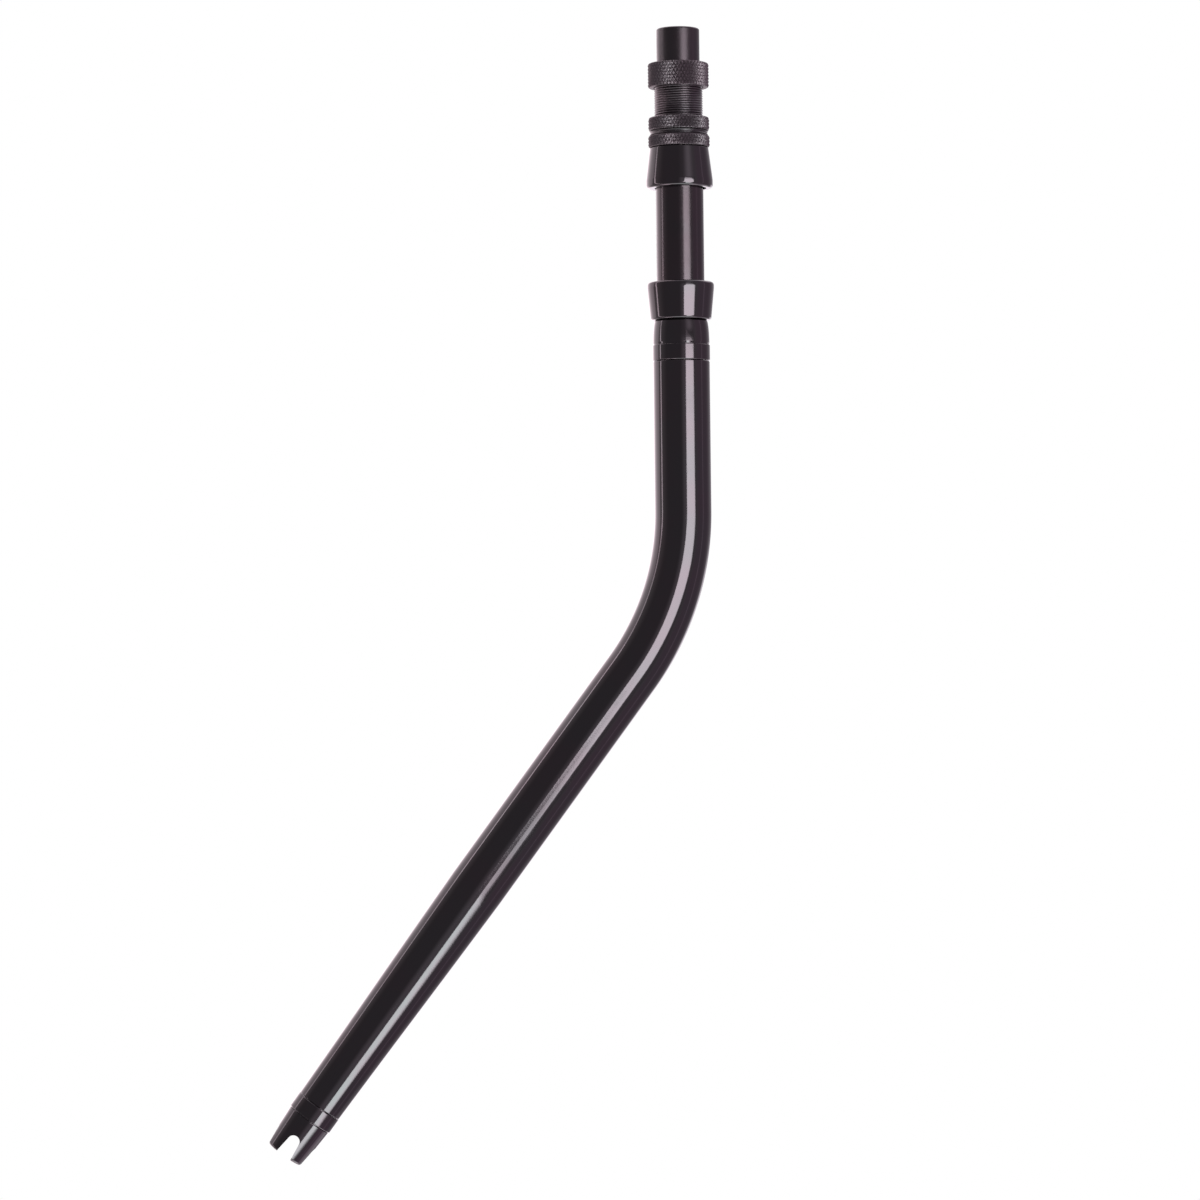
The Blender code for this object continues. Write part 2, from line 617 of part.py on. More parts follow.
def main():
    clear_scene()
    black = (0.02, 0.018, 0.022)
    seat_axis = axis_empty("seat_axis", AXES_MEET, 0.0)
    leg_axis = axis_empty("leg_axis", (0.0, 0.0, 0.0), BEND_ANGLE)

    tube = make_tube(metal("tube black", black, 0.12))
    gimbal = make_gimbal(leg_axis, metal("gimbal black", black, 0.15))
    make_gimbal_pin(leg_axis, tube, gimbal, metal("gimbal pin steel", (0.6, 0.6, 0.62), 0.3))

    barrel = make_barrel(seat_axis, metal("barrel black", black, 0.2))
    make_barrel_pin(seat_axis, tube, barrel, metal("barrel pin steel", (0.6, 0.6, 0.62), 0.3))
    make_collar(seat_axis, metal("collar black", black, 0.12))
    lower_hood = make_lower_hood(seat_axis, metal("lower hood black", black, 0.12))
    make_hood_screw(seat_axis, lower_hood, barrel, metal("screw steel", (0.2, 0.2, 0.21), 0.4))

    upper_hood = make_upper_hood(seat_axis, metal("upper hood black", black, 0.15))
    make_hood_key(seat_axis, upper_hood, metal("hood key brass", (0.7, 0.5, 0.25), 0.35))
    make_thrust_washer(seat_axis, metal("thrust washer nylon", (0.03, 0.03, 0.03), 0.5, 0.0))
    clamp_black = metal("clamp ring black", black, 0.3)
    make_ring("clamp_ring", CLAMP_RING_DIAMETER, CLAMP_RING_LENGTH, seat_axis, clamp_black, CLAMP_RING_BASE)
    make_jam_washer(seat_axis, metal("jam washer black", black, 0.3))
    jam_black = metal("jam ring black", black, 0.3)
    make_ring("jam_ring", JAM_RING_DIAMETER, JAM_RING_LENGTH, seat_axis, jam_black, JAM_RING_BASE)

    ferrule = make_ferrule(seat_axis, metal("ferrule black", black, 0.3))
    make_o_ring(seat_axis, metal("o ring rubber", (0.01, 0.01, 0.01), 0.7, 0.0))
    make_ferrule_key(seat_axis, ferrule, metal("ferrule key brass", (0.7, 0.5, 0.25), 0.35))
    make_slip_washer(seat_axis, metal("slip washer nylon", (0.8, 0.8, 0.78), 0.5, 0.0))
    make_nut(seat_axis, metal("nut black", black, 0.3))


main()
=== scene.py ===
import math

import bmesh
import bpy
from mathutils import Matrix, Vector


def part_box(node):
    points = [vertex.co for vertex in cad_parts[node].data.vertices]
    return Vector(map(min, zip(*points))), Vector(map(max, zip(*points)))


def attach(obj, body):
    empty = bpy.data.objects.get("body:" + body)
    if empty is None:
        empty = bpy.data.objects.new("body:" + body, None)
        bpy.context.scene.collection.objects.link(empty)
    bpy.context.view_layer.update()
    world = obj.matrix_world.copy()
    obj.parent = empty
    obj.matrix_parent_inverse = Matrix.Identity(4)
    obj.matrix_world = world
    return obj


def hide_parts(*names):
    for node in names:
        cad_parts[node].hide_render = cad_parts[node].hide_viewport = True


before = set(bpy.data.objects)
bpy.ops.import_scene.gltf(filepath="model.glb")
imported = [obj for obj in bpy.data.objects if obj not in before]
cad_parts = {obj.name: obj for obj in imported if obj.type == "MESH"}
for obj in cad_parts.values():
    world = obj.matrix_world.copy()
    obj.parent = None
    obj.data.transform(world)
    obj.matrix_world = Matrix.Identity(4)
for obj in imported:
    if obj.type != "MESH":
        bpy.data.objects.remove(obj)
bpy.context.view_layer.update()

mm = 0.001

layout = {
    "bendAngle": math.radians(36.44), "bendRadius": 152.4 * mm, "tubeRadius": 15.875 * mm,
    "tubeWall": 3.175 * mm,
    "joint": 0.3 * mm,  # the gap where two pieces meet
}

# how far the cutters reach past what they cut, right through it, and out of its back
pastEnd = 2.0 * mm
throughAll = 20.0 * mm
outOfBack = 30.0 * mm

seatLow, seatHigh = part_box("jam_ring")
axisX = (seatLow[0] + seatHigh[0]) / 2
axesMeet = Vector((axisX, 0.0, axisX / math.tan(layout["bendAngle"])))
bendTangent = layout["bendRadius"] * math.tan(layout["bendAngle"] / 2)
onSeat = Matrix.Translation((axisX, 0.0, 0.0))  # pieces on the rod's axis keep their height
onLeg = Matrix.Rotation(layout["bendAngle"], 4, "Y")  # those on the leg count from its end


def lowOf(node):
    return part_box(node)[0][2]


def highOf(node):
    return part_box(node)[1][2]


def heights(node):
    return lowOf(node), highOf(node)


def halfWidth(node):
    low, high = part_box(node)
    return (high[1] - low[1]) / 2


class Wire:
    # one output of a node. Sums on it add Math nodes, and add() makes any other node
    def __init__(self, tree, socket=None):
        self.tree = tree
        self.socket = socket

    def add(self, kind, settings, inputs, output=0):
        node = self.tree.nodes.new(kind)
        for key, value in settings.items():
            setattr(node, key, value)
        for key, value in inputs.items():
            if isinstance(value, Wire):
                self.tree.links.new(value.socket, node.inputs[key])
            else:
                node.inputs[key].default_value = value
        return Wire(self.tree, None if output is None else node.outputs[output])

    def sum(self, operation, first, second=0.0):
        return self.add("ShaderNodeMath", {"operation": operation}, {0: first, 1: second})

    def __add__(self, other):
        return self.sum("ADD", self, other)

    __radd__ = __add__

    def __sub__(self, other):
        return self.sum("SUBTRACT", self, other)

    def __rsub__(self, other):
        return self.sum("SUBTRACT", other, self)

    def __mul__(self, other):
        return self.sum("MULTIPLY", self, other)

    __rmul__ = __mul__

    def ramp(self, low, high, atLow=0.0, atHigh=1.0):
        # an eased rise or fall between two values
        ends = {"From Min": low, "From Max": high, "To Min": atLow, "To Max": atHigh}
        settings = {"interpolation_type": "SMOOTHSTEP"}
        return self.add("ShaderNodeMapRange", settings, {"Value": self, **ends})

    def blend(self, first, second):
        # two colours, mixed by this value
        return self.add("ShaderNodeMix", {"data_type": "RGBA"}, {0: self, 6: first, 7: second}, 2)


# each kind of mark: its scale, how fine it is, and between which values it comes to show
marks = {
    "patches": {"scale": 38.0, "detail": 3.0, "shows": (0.35, 0.68)},
    "drawMarks": {"scale": 900.0, "detail": 3.0, "roughness": 0.6},
    "smudges": {"scale": 70.0, "detail": 4.0, "roughness": 0.6, "shows": (0.42, 0.75)},
    "specks": {"scale": 2600.0, "detail": 1.0, "shows": (0.70, 0.78)},
    "chips": {"scale": 420.0, "detail": 4.0, "roughness": 0.7, "shows": (0.40, 0.62)},
    "grain": {"scale": 1500.0, "detail": 3.0},
    "turning": {"scale": 1.0, "detail": 1.0},
    "brushing": {"scale": 2400.0, "detail": 2.0, "roughness": 0.6},
    "stains": {"scale": 240.0, "detail": 3.0, "shows": (0.35, 0.7)},
    "clouds": {"scale": 160.0, "detail": 3.0, "shows": (0.3, 0.7)},
    "skin": {"scale": 3000.0, "detail": 2.0},
}
evenly = (1.0, 1.0, 1.0)
alongBar = (1.0, 1.0, 0.12)  # marks are drawn out along the bar
alongBrush = (1.0, 1.0, 0.1)
roundBar = (1.0, 1.0, 5200.0)  # marks run round the bar, as a lathe leaves them


def spread(start, scale, turn=0.0):
    # object coordinates, drawn out along an axis so that marks run that way
    place = start.add("ShaderNodeTexCoord", {}, {}, 3)
    inputs = {"Vector": place, "Rotation": (0.0, turn, 0.0), "Scale": scale}
    return start.add("ShaderNodeMapping", {}, inputs)


def mark(start, place, kind):
    look = marks[kind]
    inputs = {"Vector": place, "Scale": look["scale"], "Detail": look["detail"]}
    inputs["Roughness"] = look.get("roughness", 0.5)
    field = start.add("ShaderNodeTexNoise", {}, inputs)
    return field.ramp(*look["shows"]) if "shows" in look else field


finishes = {
    "gloss": {
        "colour": (0.0495, 0.0485, 0.0505), "tint": (0.0525, 0.0470, 0.0505),
        "worn": (0.30, 0.28, 0.29), "roughness": 0.055, "haze": 0.05, "wear": 0.10,
        "grain": 0.00001, "turning": 0.0,
    },
    "barrel": {
        "colour": (0.0460, 0.0445, 0.0465), "tint": (0.0510, 0.0435, 0.0470),
        "worn": (0.26, 0.24, 0.25), "roughness": 0.155, "haze": 0.06, "wear": 0.20,
        "grain": 0.000012, "turning": 0.000004,
    },
    "satin": {
        "colour": (0.0475, 0.0455, 0.0475), "tint": (0.0540, 0.0455, 0.0500),
        "worn": (0.28, 0.26, 0.27), "roughness": 0.28, "haze": 0.08, "wear": 0.22,
        "grain": 0.000015, "turning": 0.000006,
    },
    "thread": {
        "colour": (0.068, 0.062, 0.066), "tint": (0.076, 0.063, 0.069),
        "worn": (0.30, 0.28, 0.29), "roughness": 0.28, "haze": 0.06, "wear": 0.25,
        "grain": 0.000008, "turning": 0.0,
    },
    "knurl": {
        "colour": (0.094, 0.086, 0.091), "tint": (0.106, 0.090, 0.098),
        "worn": (0.32, 0.30, 0.31), "roughness": 0.44, "haze": 0.06, "wear": 0.45,
        "grain": 0.000010, "turning": 0.0,
    },
}

anodising = {
    "speck": (0.12, 0.11, 0.115, 1.0), "specks": 0.25, "drawRoughness": 0.03,
    "rubbedRoughness": 0.2, "drawHeight": 0.6, "bump": 0.6,
}

plainFinishes = {
    "steel": {"colour": (0.60, 0.60, 0.62), "dark": (0.42, 0.42, 0.44), "roughness": 0.24},
    "brass": {"colour": (0.72, 0.52, 0.26), "dark": (0.55, 0.38, 0.18), "roughness": 0.28},
    "nylon": {"colour": (0.74, 0.73, 0.68), "dark": (0.62, 0.60, 0.55), "roughness": 0.38},
    "rubber": {"colour": (0.018, 0.018, 0.019), "dark": (0.03, 0.03, 0.03), "roughness": 0.55},
}

surfaces = {
    "brushing": {"roughness": 0.15, "height": 0.00002, "bump": 0.4},
    "skin": {"roughness": 0.12, "height": 0.00003, "bump": 0.5},
}


def newMaterial(name):
    material = bpy.data.materials.new(name)
    material.use_nodes = True
    shader = material.node_tree.nodes["Principled BSDF"]
    return material, shader, Wire(material.node_tree)


def feed(start, shader, values):
    for key, value in values.items():
        if isinstance(value, Wire):
            start.tree.links.new(value.socket, shader.inputs[key])
        else:
            shader.inputs[key].default_value = value


def bumped(start, height, strength):
    inputs = {"Strength": strength, "Distance": 1.0, "Height": height}
    return start.add("ShaderNodeBump", {}, inputs)


def anodised(name, recipe, turn=0.0):
    # black anodising: a dark mirror with a warm cast in patches, faint draw marks along the
    # bar, and bare metal showing a little where edges rub
    material, shader, start = newMaterial(name)
    even = spread(start, evenly)
    drawMarks = mark(start, spread(start, alongBar, turn), "drawMarks")
    edge = start.add("ShaderNodeAttribute", {"attribute_name": "edge"}, {}, 2)
    rubbed = edge * mark(start, even, "chips") * recipe["wear"]
    patches = mark(start, even, "patches")
    colour = patches.blend((*recipe["colour"], 1.0), (*recipe["tint"], 1.0))
    colour = rubbed.blend(colour, (*recipe["worn"], 1.0))
    specks = mark(start, even, "specks") * anodising["specks"]
    colour = specks.blend(colour, anodising["speck"])
    roughness = recipe["roughness"] + mark(start, even, "smudges") * recipe["haze"]
    roughness = roughness + (drawMarks - 0.5) * anodising["drawRoughness"]
    roughness = roughness + rubbed * anodising["rubbedRoughness"]
    height = mark(start, even, "grain") + drawMarks * anodising["drawHeight"]
    height = height * recipe["grain"]
    if recipe["turning"]:
        lathed = mark(start, spread(start, roundBar, turn), "turning")
        height = height + lathed * recipe["turning"]
    bump = bumped(start, height, anodising["bump"])
    feed(start, shader, {"Base Color": colour, "Metallic": 1.0})
    feed(start, shader, {"Roughness": roughness, "Normal": bump})
    return material


def plain(name, recipe, kind, spreading, surface, metallic):
    # one material in two shades, with a fine grain on its surface
    material, shader, start = newMaterial(name)
    fine = mark(start, spread(start, spreading), surface)
    look = surfaces[surface]
    shade = mark(start, spread(start, evenly), kind)
    shade = shade.blend((*recipe["colour"], 1.0), (*recipe["dark"], 1.0))
    roughness = recipe["roughness"] + fine * look["roughness"]
    bump = bumped(start, fine * look["height"], look["bump"])
    feed(start, shader, {"Base Color": shade, "Metallic": metallic})
    feed(start, shader, {"Roughness": roughness, "Normal": bump})
    return material


def metal(name, recipe):
    return plain(name, recipe, "stains", alongBrush, "brushing", 1.0)


def moulded(name, recipe):
    return plain(name, recipe, "clouds", evenly, "skin", 0.0)


cornerSteps = 5
roundColumns = 160
longestReach = 0.49  # of a side, that a rounding may take at each end
smallRounding = 0.6 * mm  # only edges this small wear
sharpEdge = math.radians(32.0)
bevelEdge = math.radians(40.0)
weld = 0.0005 * mm


def polar(radius, angle, height):
    return radius * math.cos(angle), radius * math.sin(angle), height


def softened(corners):
    # a closed outline of (radius, height) or (radius, height, rounding) corners becomes
    # (radius, height, wear) points, with an arc at each rounded corner
    points = []
    count = len(corners)
    for index, corner in enumerate(corners):
        here = Vector(corner[:2])
        rounding = corner[2] if len(corner) > 2 else 0.0
        before = Vector(corners[index - 1][:2]) - here
        after = Vector(corners[(index + 1) % count][:2]) - here
        if not rounding:
            points.append((here.x, here.y, 0.0))
            continue
        half = before.angle(after) / 2
        longest = longestReach * min(before.length, after.length)
        reach = min(rounding / math.tan(half), longest)
        radius = reach * math.tan(half)
        inward = (before.normalized() + after.normalized()).normalized()
        middle = here + inward * (radius / math.sin(half))
        start = here + before.normalized() * reach - middle
        end = here + after.normalized() * reach - middle
        sweep = start.angle_signed(end)
        for step in range(cornerSteps + 1):
            share = step / cornerSteps
            arm = start.copy()
            arm.rotate(Matrix.Rotation(-sweep * share, 2))
            wear = math.sin(math.pi * share) if rounding < smallRounding else 0.0
            points.append((middle.x + arm.x, middle.y + arm.y, wear))
    return points


def ringOf(mesh, edge, point, columns):
    # one row of a turned piece
    radius, height, wear = point
    ring = []
    for column in range(columns):
        vert = mesh.verts.new(polar(radius, math.tau * column / columns, height))
        vert[edge] = wear
        ring.append(vert)
    return ring


def ringsOf(mesh, edge, points, columns):
    return [ringOf(mesh, edge, point, columns) for point in points]


def joinRings(mesh, first, second, split=None):
    # split says which way each four-sided face is cut in two
    count = len(first)
    for column in range(count):
        following = (column + 1) % count
        a, b, c, d = first[column], first[following], second[following], second[column]
        if split is None:
            mesh.faces.new((a, b, c, d))
        elif split(a, b, c, d):
            mesh.faces.new((a, b, c))
            mesh.faces.new((a, c, d))
        else:
            mesh.faces.new((a, b, d))
            mesh.faces.new((b, c, d))


def joinAll(mesh, rings, split=None):
    for first, second in zip(rings, rings[1:]):
        joinRings(mesh, first, second, split)


def newMesh():
    mesh = bmesh.new()
    return mesh, mesh.verts.layers.float.new("edge")


def evenShading(piece):
    # keeps long faces flat beside small roundings
    even = piece.modifiers.new("even shading", "WEIGHTED_NORMAL")
    even.keep_sharp = True


def shaped(name, mesh, place, material=None):
    bmesh.ops.recalc_face_normals(mesh, faces=mesh.faces)
    data = bpy.data.meshes.new(name)
    mesh.to_mesh(data)
    mesh.free()
    data.transform(place)
    data.materials.append(material)
    data.shade_smooth()
    data.set_sharp_from_angle(angle=sharpEdge)
    piece = bpy.data.objects.new(name, data)
    bpy.context.scene.collection.objects.link(piece)
    evenShading(piece)
    return piece


def finishPiece(name, mesh, place, material, body, slot, nodes):
    piece = shaped(name, mesh, place, material)
    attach(piece, body)
    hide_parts(*nodes)
    return piece


def turned(name, corners, place, material, body, slot, nodes, columns=roundColumns):
    mesh, edge = newMesh()
    rings = ringsOf(mesh, edge, softened(corners), columns)
    joinAll(mesh, rings + rings[:1])
    return finishPiece(name, mesh, place, material, body, slot, nodes)


def solidTurned(name, corners, place, material, body, slot, nodes):
    # a turned piece that is solid at its axis: the first and last corners sit on the axis
    mesh, edge = newMesh()
    points = softened(corners)
    rings = ringsOf(mesh, edge, points[1:-1], roundColumns)
    joinAll(mesh, rings)
    for point, ring in ((points[0], rings[0]), (points[-1], rings[-1])):
        centre = mesh.verts.new((0.0, 0.0, point[1]))
        for column in range(roundColumns):
            mesh.faces.new((centre, ring[column], ring[(column + 1) % roundColumns]))
    return finishPiece(name, mesh, place, material, body, slot, nodes)


def cutterOf(mesh, place):
    return shaped("cutter", mesh, place)


def brick(low, high, rounding=0.0):
    mesh = newMesh()[0]
    bmesh.ops.create_cube(mesh, size=1.0)
    for vert in mesh.verts:
        for axis in range(3):
            vert.co[axis] = low[axis] if vert.co[axis] < 0 else high[axis]
    if rounding:
        arc = {"offset": rounding, "segments": 3, "profile": 0.5, "affect": "EDGES"}
        bmesh.ops.bevel(mesh, geom=mesh.edges[:], **arc)
    return mesh


def backRod(radius, inner, outer, height, sides=48):
    # a round tool along +Y, at a height on its axis
    mesh = newMesh()[0]
    turn = Matrix.Translation((0.0, 0.0, height)) @ Matrix.Rotation(-math.pi / 2, 4, "X")
    place = turn @ Matrix.Translation((0.0, 0.0, (inner + outer) / 2))
    size = {"radius1": radius, "radius2": radius, "depth": outer - inner}
    bmesh.ops.create_cone(mesh, cap_ends=True, segments=sides, matrix=place, **size)
    return mesh


def carve(piece, tools, rounding=0.0, operation="DIFFERENCE"):
    # cuts tools out of a piece or joins them to it, rounds the new edges, and drops the tools
    piece.modifiers.clear()
    for tool in tools:
        modifier = piece.modifiers.new("cut", "BOOLEAN")
        modifier.operation = operation
        modifier.object = tool
        modifier.solver = "EXACT"
    if rounding:
        bevel = piece.modifiers.new("rounding", "BEVEL")
        bevel.width = rounding
        bevel.segments = 2
        bevel.limit_method = "ANGLE"
        bevel.angle_limit = bevelEdge
        bevel.use_clamp_overlap = True
    graph = bpy.context.evaluated_depsgraph_get()
    graph.update()
    finished = bpy.data.meshes.new_from_object(piece.evaluated_get(graph))
    piece.modifiers.clear()
    piece.data = finished
    finished.set_sharp_from_angle(angle=sharpEdge)
    evenShading(piece)
    for tool in tools:
        bpy.data.objects.remove(tool, do_unlink=True)


camera = {
    "lens": 150.0, "distance": 2.807, "sight": 50.0,
    "rise": math.radians(-2.0),  # the camera sits a little low and looks up
    "roll": math.radians(-0.62), "aim": Vector((0.1798, 0.0, 0.3082)),
}


def placeCamera():
    data = bpy.data.cameras.new("camera")
    data.lens = camera["lens"]
    data.clip_end = camera["sight"]
    obj = bpy.data.objects.new("camera", data)
    bpy.context.scene.collection.objects.link(obj)
    tilt = Matrix.Rotation(math.pi / 2 - camera["rise"], 4, "X")
    roll = Matrix.Rotation(camera["roll"], 4, "Z")
    back = Matrix.Translation((0.0, 0.0, camera["distance"]))
    obj.matrix_world = Matrix.Translation(camera["aim"]) @ tilt @ roll @ back
    bpy.context.scene.camera = obj


# soft boxes are painted on the sky, by azimuth from the front and by elevation, in degrees.
# A span is (start, end, softness), and a rise is (start, end) or (start, end, before, after)
studio = {
    "room": 0.33,
    "slant": {"from": 12.0, "rate": 0.65, "upper": (-10.8, -7.6), "lower": (-13.5, -8.0)},
    "key": {
        "strength": 8.3, "left": 13.1, "leftSoft": 1.0, "lean": 0.73, "leanTop": 7.0,
        "leanBelow": 0.33, "right": 49.5, "rightSoft": 2.5, "narrowFrom": 5.0, "narrow": 4.0,
        "tuckFrom": -6.0, "tuck": 0.62,
        "elevation": [(4.4, 8.6, 1.0, 0.07), (12.0, 20.0, 1.0, 0.0)],
    },
    "lowKey": {"strength": 9.2, "across": (22.5, 57.0, 1.0), "elevation": [(-44.0, -36.0)]},
    "strip": {"strength": 4.2, "across": (-98.0, -92.5, 0.8), "lean": 0.20, "dip": 0.3},
    "stripDip": {"strength": 1.0, "elevation": [(7.0, 10.0), (32.0, 34.5, 1.0, 0.0)]},
    "leftWall": {
        "strength": 1.22, "lean": -0.3, "azimuth": [(-112.0, -104.0, 1.0, 0.0)],
        "elevation": [(10.0, 20.0, 1.0, 0.75), (-30.0, -14.0, 0.1, 1.0)],
    },
    "rightWall": {"strength": 1.0, "azimuth": [(92.0, 116.0)], "from": 119.0, "rate": 0.33},
    "border": (-41.5, -38.5, 1.1, 0.17), "leanFrom": 4.0, "floorHeight": -0.12, "floorSize": 6.0,
}

plainLights = {
    "shelf": {
        "strength": 0.5, "across": (2.0, 44.0, 9.0),
        "elevation": [(6.0, 10.0, 1.0, 0.2)],
    },
    "overhead": {
        "strength": 0.85, "across": (22.0, 46.0, 12.0),
        "elevation": [(9.0, 16.0), (24.0, 45.0, 1.0, 0.35)],
    },
    "leftRoom": {"strength": 0.35, "azimuth": [(-97.0, -60.0, 1.0, 0.0)]},
    "backRight": {"strength": 1.0, "azimuth": [(138.0, 150.0)], "upward": (-15.0, -2.0, 3.0)},
    "rightRoom": {"strength": 0.30, "azimuth": [(40.0, 60.0), (92.0, 116.0, 1.0, 0.0)]},
    "seam": {"strength": 0.4, "across": (87.5, 91.5, 1.0)},
    "highBack": {"strength": 1.5, "azimuth": [(98.0, 116.0)], "elevation": [(20.0, 32.0)]},
    "floorGlow": {"strength": 3.2, "elevation": [(-66.0, -50.0, 1.0, 0.0)]},
    "ceiling": {"strength": 1.5, "elevation": [(50.0, 80.0)]},
}

# the boxes are a little pink, cooler low down, and what the dark room throws back is warmer
tints = {
    "boxes": (1.03, 0.975, 1.02, 1.0), "cool": (0.94, 1.015, 1.0, 1.0),
    "coolEdge": (-15.0, -10.5), "walls": (1.05, 0.93, 1.04, 1.0),
    "rightSide": (1.04, 0.80, 1.0, 1.0), "rightSpan": (62.0, 128.0, 8.0),
    "leftSide": (1.09, 0.94, 1.0, 1.0), "leftEdge": (-90.0, -40.0), "bright": (0.7, 2.6),
}


def band(angle, low, high, soft):
    return (angle - low).ramp(-soft, soft) * (high - angle).ramp(-soft, soft)


def lightOf(look, azimuth, elevation):
    # the product of all the spans and rises that a light names
    light = look["strength"]
    if "across" in look:
        light = band(azimuth, *look["across"]) * light
    if "upward" in look:
        light = band(elevation, *look["upward"]) * light
    for rise in look.get("azimuth", ()):
        light = azimuth.ramp(*rise) * light
    for rise in look.get("elevation", ()):
        light = elevation.ramp(*rise) * light
    return light


def keyLights(start, azimuth, elevation, across):
    # the upper soft box hangs right of the camera, its lower edge cut on a slant, and the
    # lower one lights the leg
    key = studio["key"]
    above = start.sum("MAXIMUM", elevation - key["narrowFrom"], 0.0)
    below = start.sum("MINIMUM", elevation - key["tuckFrom"], 0.0)
    lean = start.sum("MINIMUM", elevation, key["leanTop"]) * key["lean"]
    lean = lean - start.sum("MINIMUM", elevation, 0.0) * key["leanBelow"]
    left = (azimuth - lean - key["left"]).ramp(-key["leftSoft"], key["leftSoft"])
    right = key["right"] + below * key["tuck"] - above * key["narrow"] - azimuth
    right = right.ramp(-key["rightSoft"], key["rightSoft"])
    upper = left * right * lightOf(key, azimuth, elevation)
    lower = lightOf(studio["lowKey"], azimuth, elevation)
    slant = studio["slant"]
    lower = lower * across.ramp(*slant["lower"], 1.0, 0.0)
    return upper * across.ramp(*slant["upper"]) + lower


def wallLights(azimuth, elevation):
    # the strip and the wall on the left lean, and the wall on the right has a lower border
    strip, left, right = studio["strip"], studio["leftWall"], studio["rightWall"]
    rise = elevation - studio["leanFrom"]
    dip = lightOf(studio["stripDip"], azimuth, elevation) * strip["dip"]
    light = lightOf(strip, azimuth + rise * strip["lean"], elevation) * (1 - dip)
    light = light + lightOf(left, azimuth + rise * left["lean"], elevation)
    border = elevation - (azimuth - right["from"]) * right["rate"]
    return light + lightOf(right, azimuth, elevation) * border.ramp(*studio["border"])


def skyColour(azimuth, across, light):
    boxes = across.ramp(*tints["coolEdge"]).blend(tints["cool"], tints["boxes"])
    rightSide = band(azimuth, *tints["rightSpan"])
    walls = rightSide.blend(tints["walls"], tints["rightSide"])
    colour = light.ramp(*tints["bright"]).blend(walls, boxes)
    return azimuth.ramp(*tints["leftEdge"], 1.0, 0.0).blend(colour, tints["leftSide"])


def lightStudio():
    world = bpy.data.worlds.new("studio")
    bpy.context.scene.world = world
    world.use_nodes = True
    world.node_tree.nodes.clear()
    start = Wire(world.node_tree)
    sight = start.add("ShaderNodeTexCoord", {}, {}, 0)
    x, y, z = [start.add("ShaderNodeSeparateXYZ", {}, {0: sight}, axis) for axis in range(3)]
    azimuth = start.sum("ARCTAN2", x, 0.0 - y) * math.degrees(1.0)
    elevation = start.sum("ARCSINE", z) * math.degrees(1.0)
    slant = studio["slant"]
    across = elevation + (azimuth - slant["from"]) * slant["rate"]
    light = keyLights(start, azimuth, elevation, across) + studio["room"]
    light = light + wallLights(azimuth, elevation)
    for look in plainLights.values():
        light = light + lightOf(look, azimuth, elevation)
    colour = skyColour(azimuth, across, light)
    glow = start.add("ShaderNodeBackground", {}, {"Color": colour, "Strength": light})
    paper = start.add("ShaderNodeBackground", {}, {"Color": (1.0, 1.0, 1.0, 1.0), "Strength": 1.0})
    seen = start.add("ShaderNodeLightPath", {}, {}, 0)
    mixed = start.add("ShaderNodeMixShader", {}, {0: seen, 1: glow, 2: paper})
    start.add("ShaderNodeOutputWorld", {}, {0: mixed}, None)


def layFloor():
    # plain pale paper, which the gloss doesn't mirror
    mesh = bmesh.new()
    bmesh.ops.create_grid(mesh, x_segments=1, y_segments=1, size=studio["floorSize"])
    data = bpy.data.meshes.new("floor")
    mesh.to_mesh(data)
    mesh.free()
    material, shader, start = newMaterial("pale paper")
    feed(start, shader, {"Base Color": (0.0, 0.0, 0.0, 1.0), "Specular IOR Level": 0.0})
    feed(start, shader, {"Roughness": 1.0, "Emission Strength": 1.0})
    feed(start, shader, {"Emission Color": (1.0, 1.0, 1.0, 1.0)})
    data.materials.append(material)
    floor = bpy.data.objects.new("floor", data)
    bpy.context.scene.collection.objects.link(floor)
    floor.location = (axisX, 0.0, studio["floorHeight"])
    floor.visible_glossy = False
    floor.visible_diffuse = False


placeCamera()
lightStudio()
layFloor()
bpy.context.scene.view_settings.view_transform = "Standard"
print("camera and studio ready")

glossSeat = anodised("gloss black, seat", finishes["gloss"])
glossTube = anodised("gloss black, tube", finishes["gloss"])
glossLeg = anodised("gloss black, leg", finishes["gloss"], -layout["bendAngle"])
barrelBlack = anodised("barrel black", finishes["barrel"])
satinBlack = anodised("satin black", finishes["satin"])
threadBlack = anodised("thread black", finishes["thread"])
knurlBlack = anodised("knurl black", finishes["knurl"])
steel = metal("stainless", plainFinishes["steel"])
brass = metal("machined brass", plainFinishes["brass"])
nylon = moulded("natural nylon", plainFinishes["nylon"])
rubber = moulded("ring rubber", plainFinishes["rubber"])
print("finishes ready")

wearAt = {"corner": 0.3, "mouth": 0.4, "thread": 0.2, "crest": 0.35, "pin": 0.5, "tip": 0.6}
fineEdge = 0.05 * mm

tube = {
    "columns": 144, "bendRows": 72, "legRows": 24, "lipRows": 5, "taperLength": 150.0 * mm,
    "taperEase": 0.12, "endRadius": 13.2 * mm,
    "lip": 0.45 * mm,  # rounding of the two end edges
    "gimbalLength": 33.2 * mm,
}


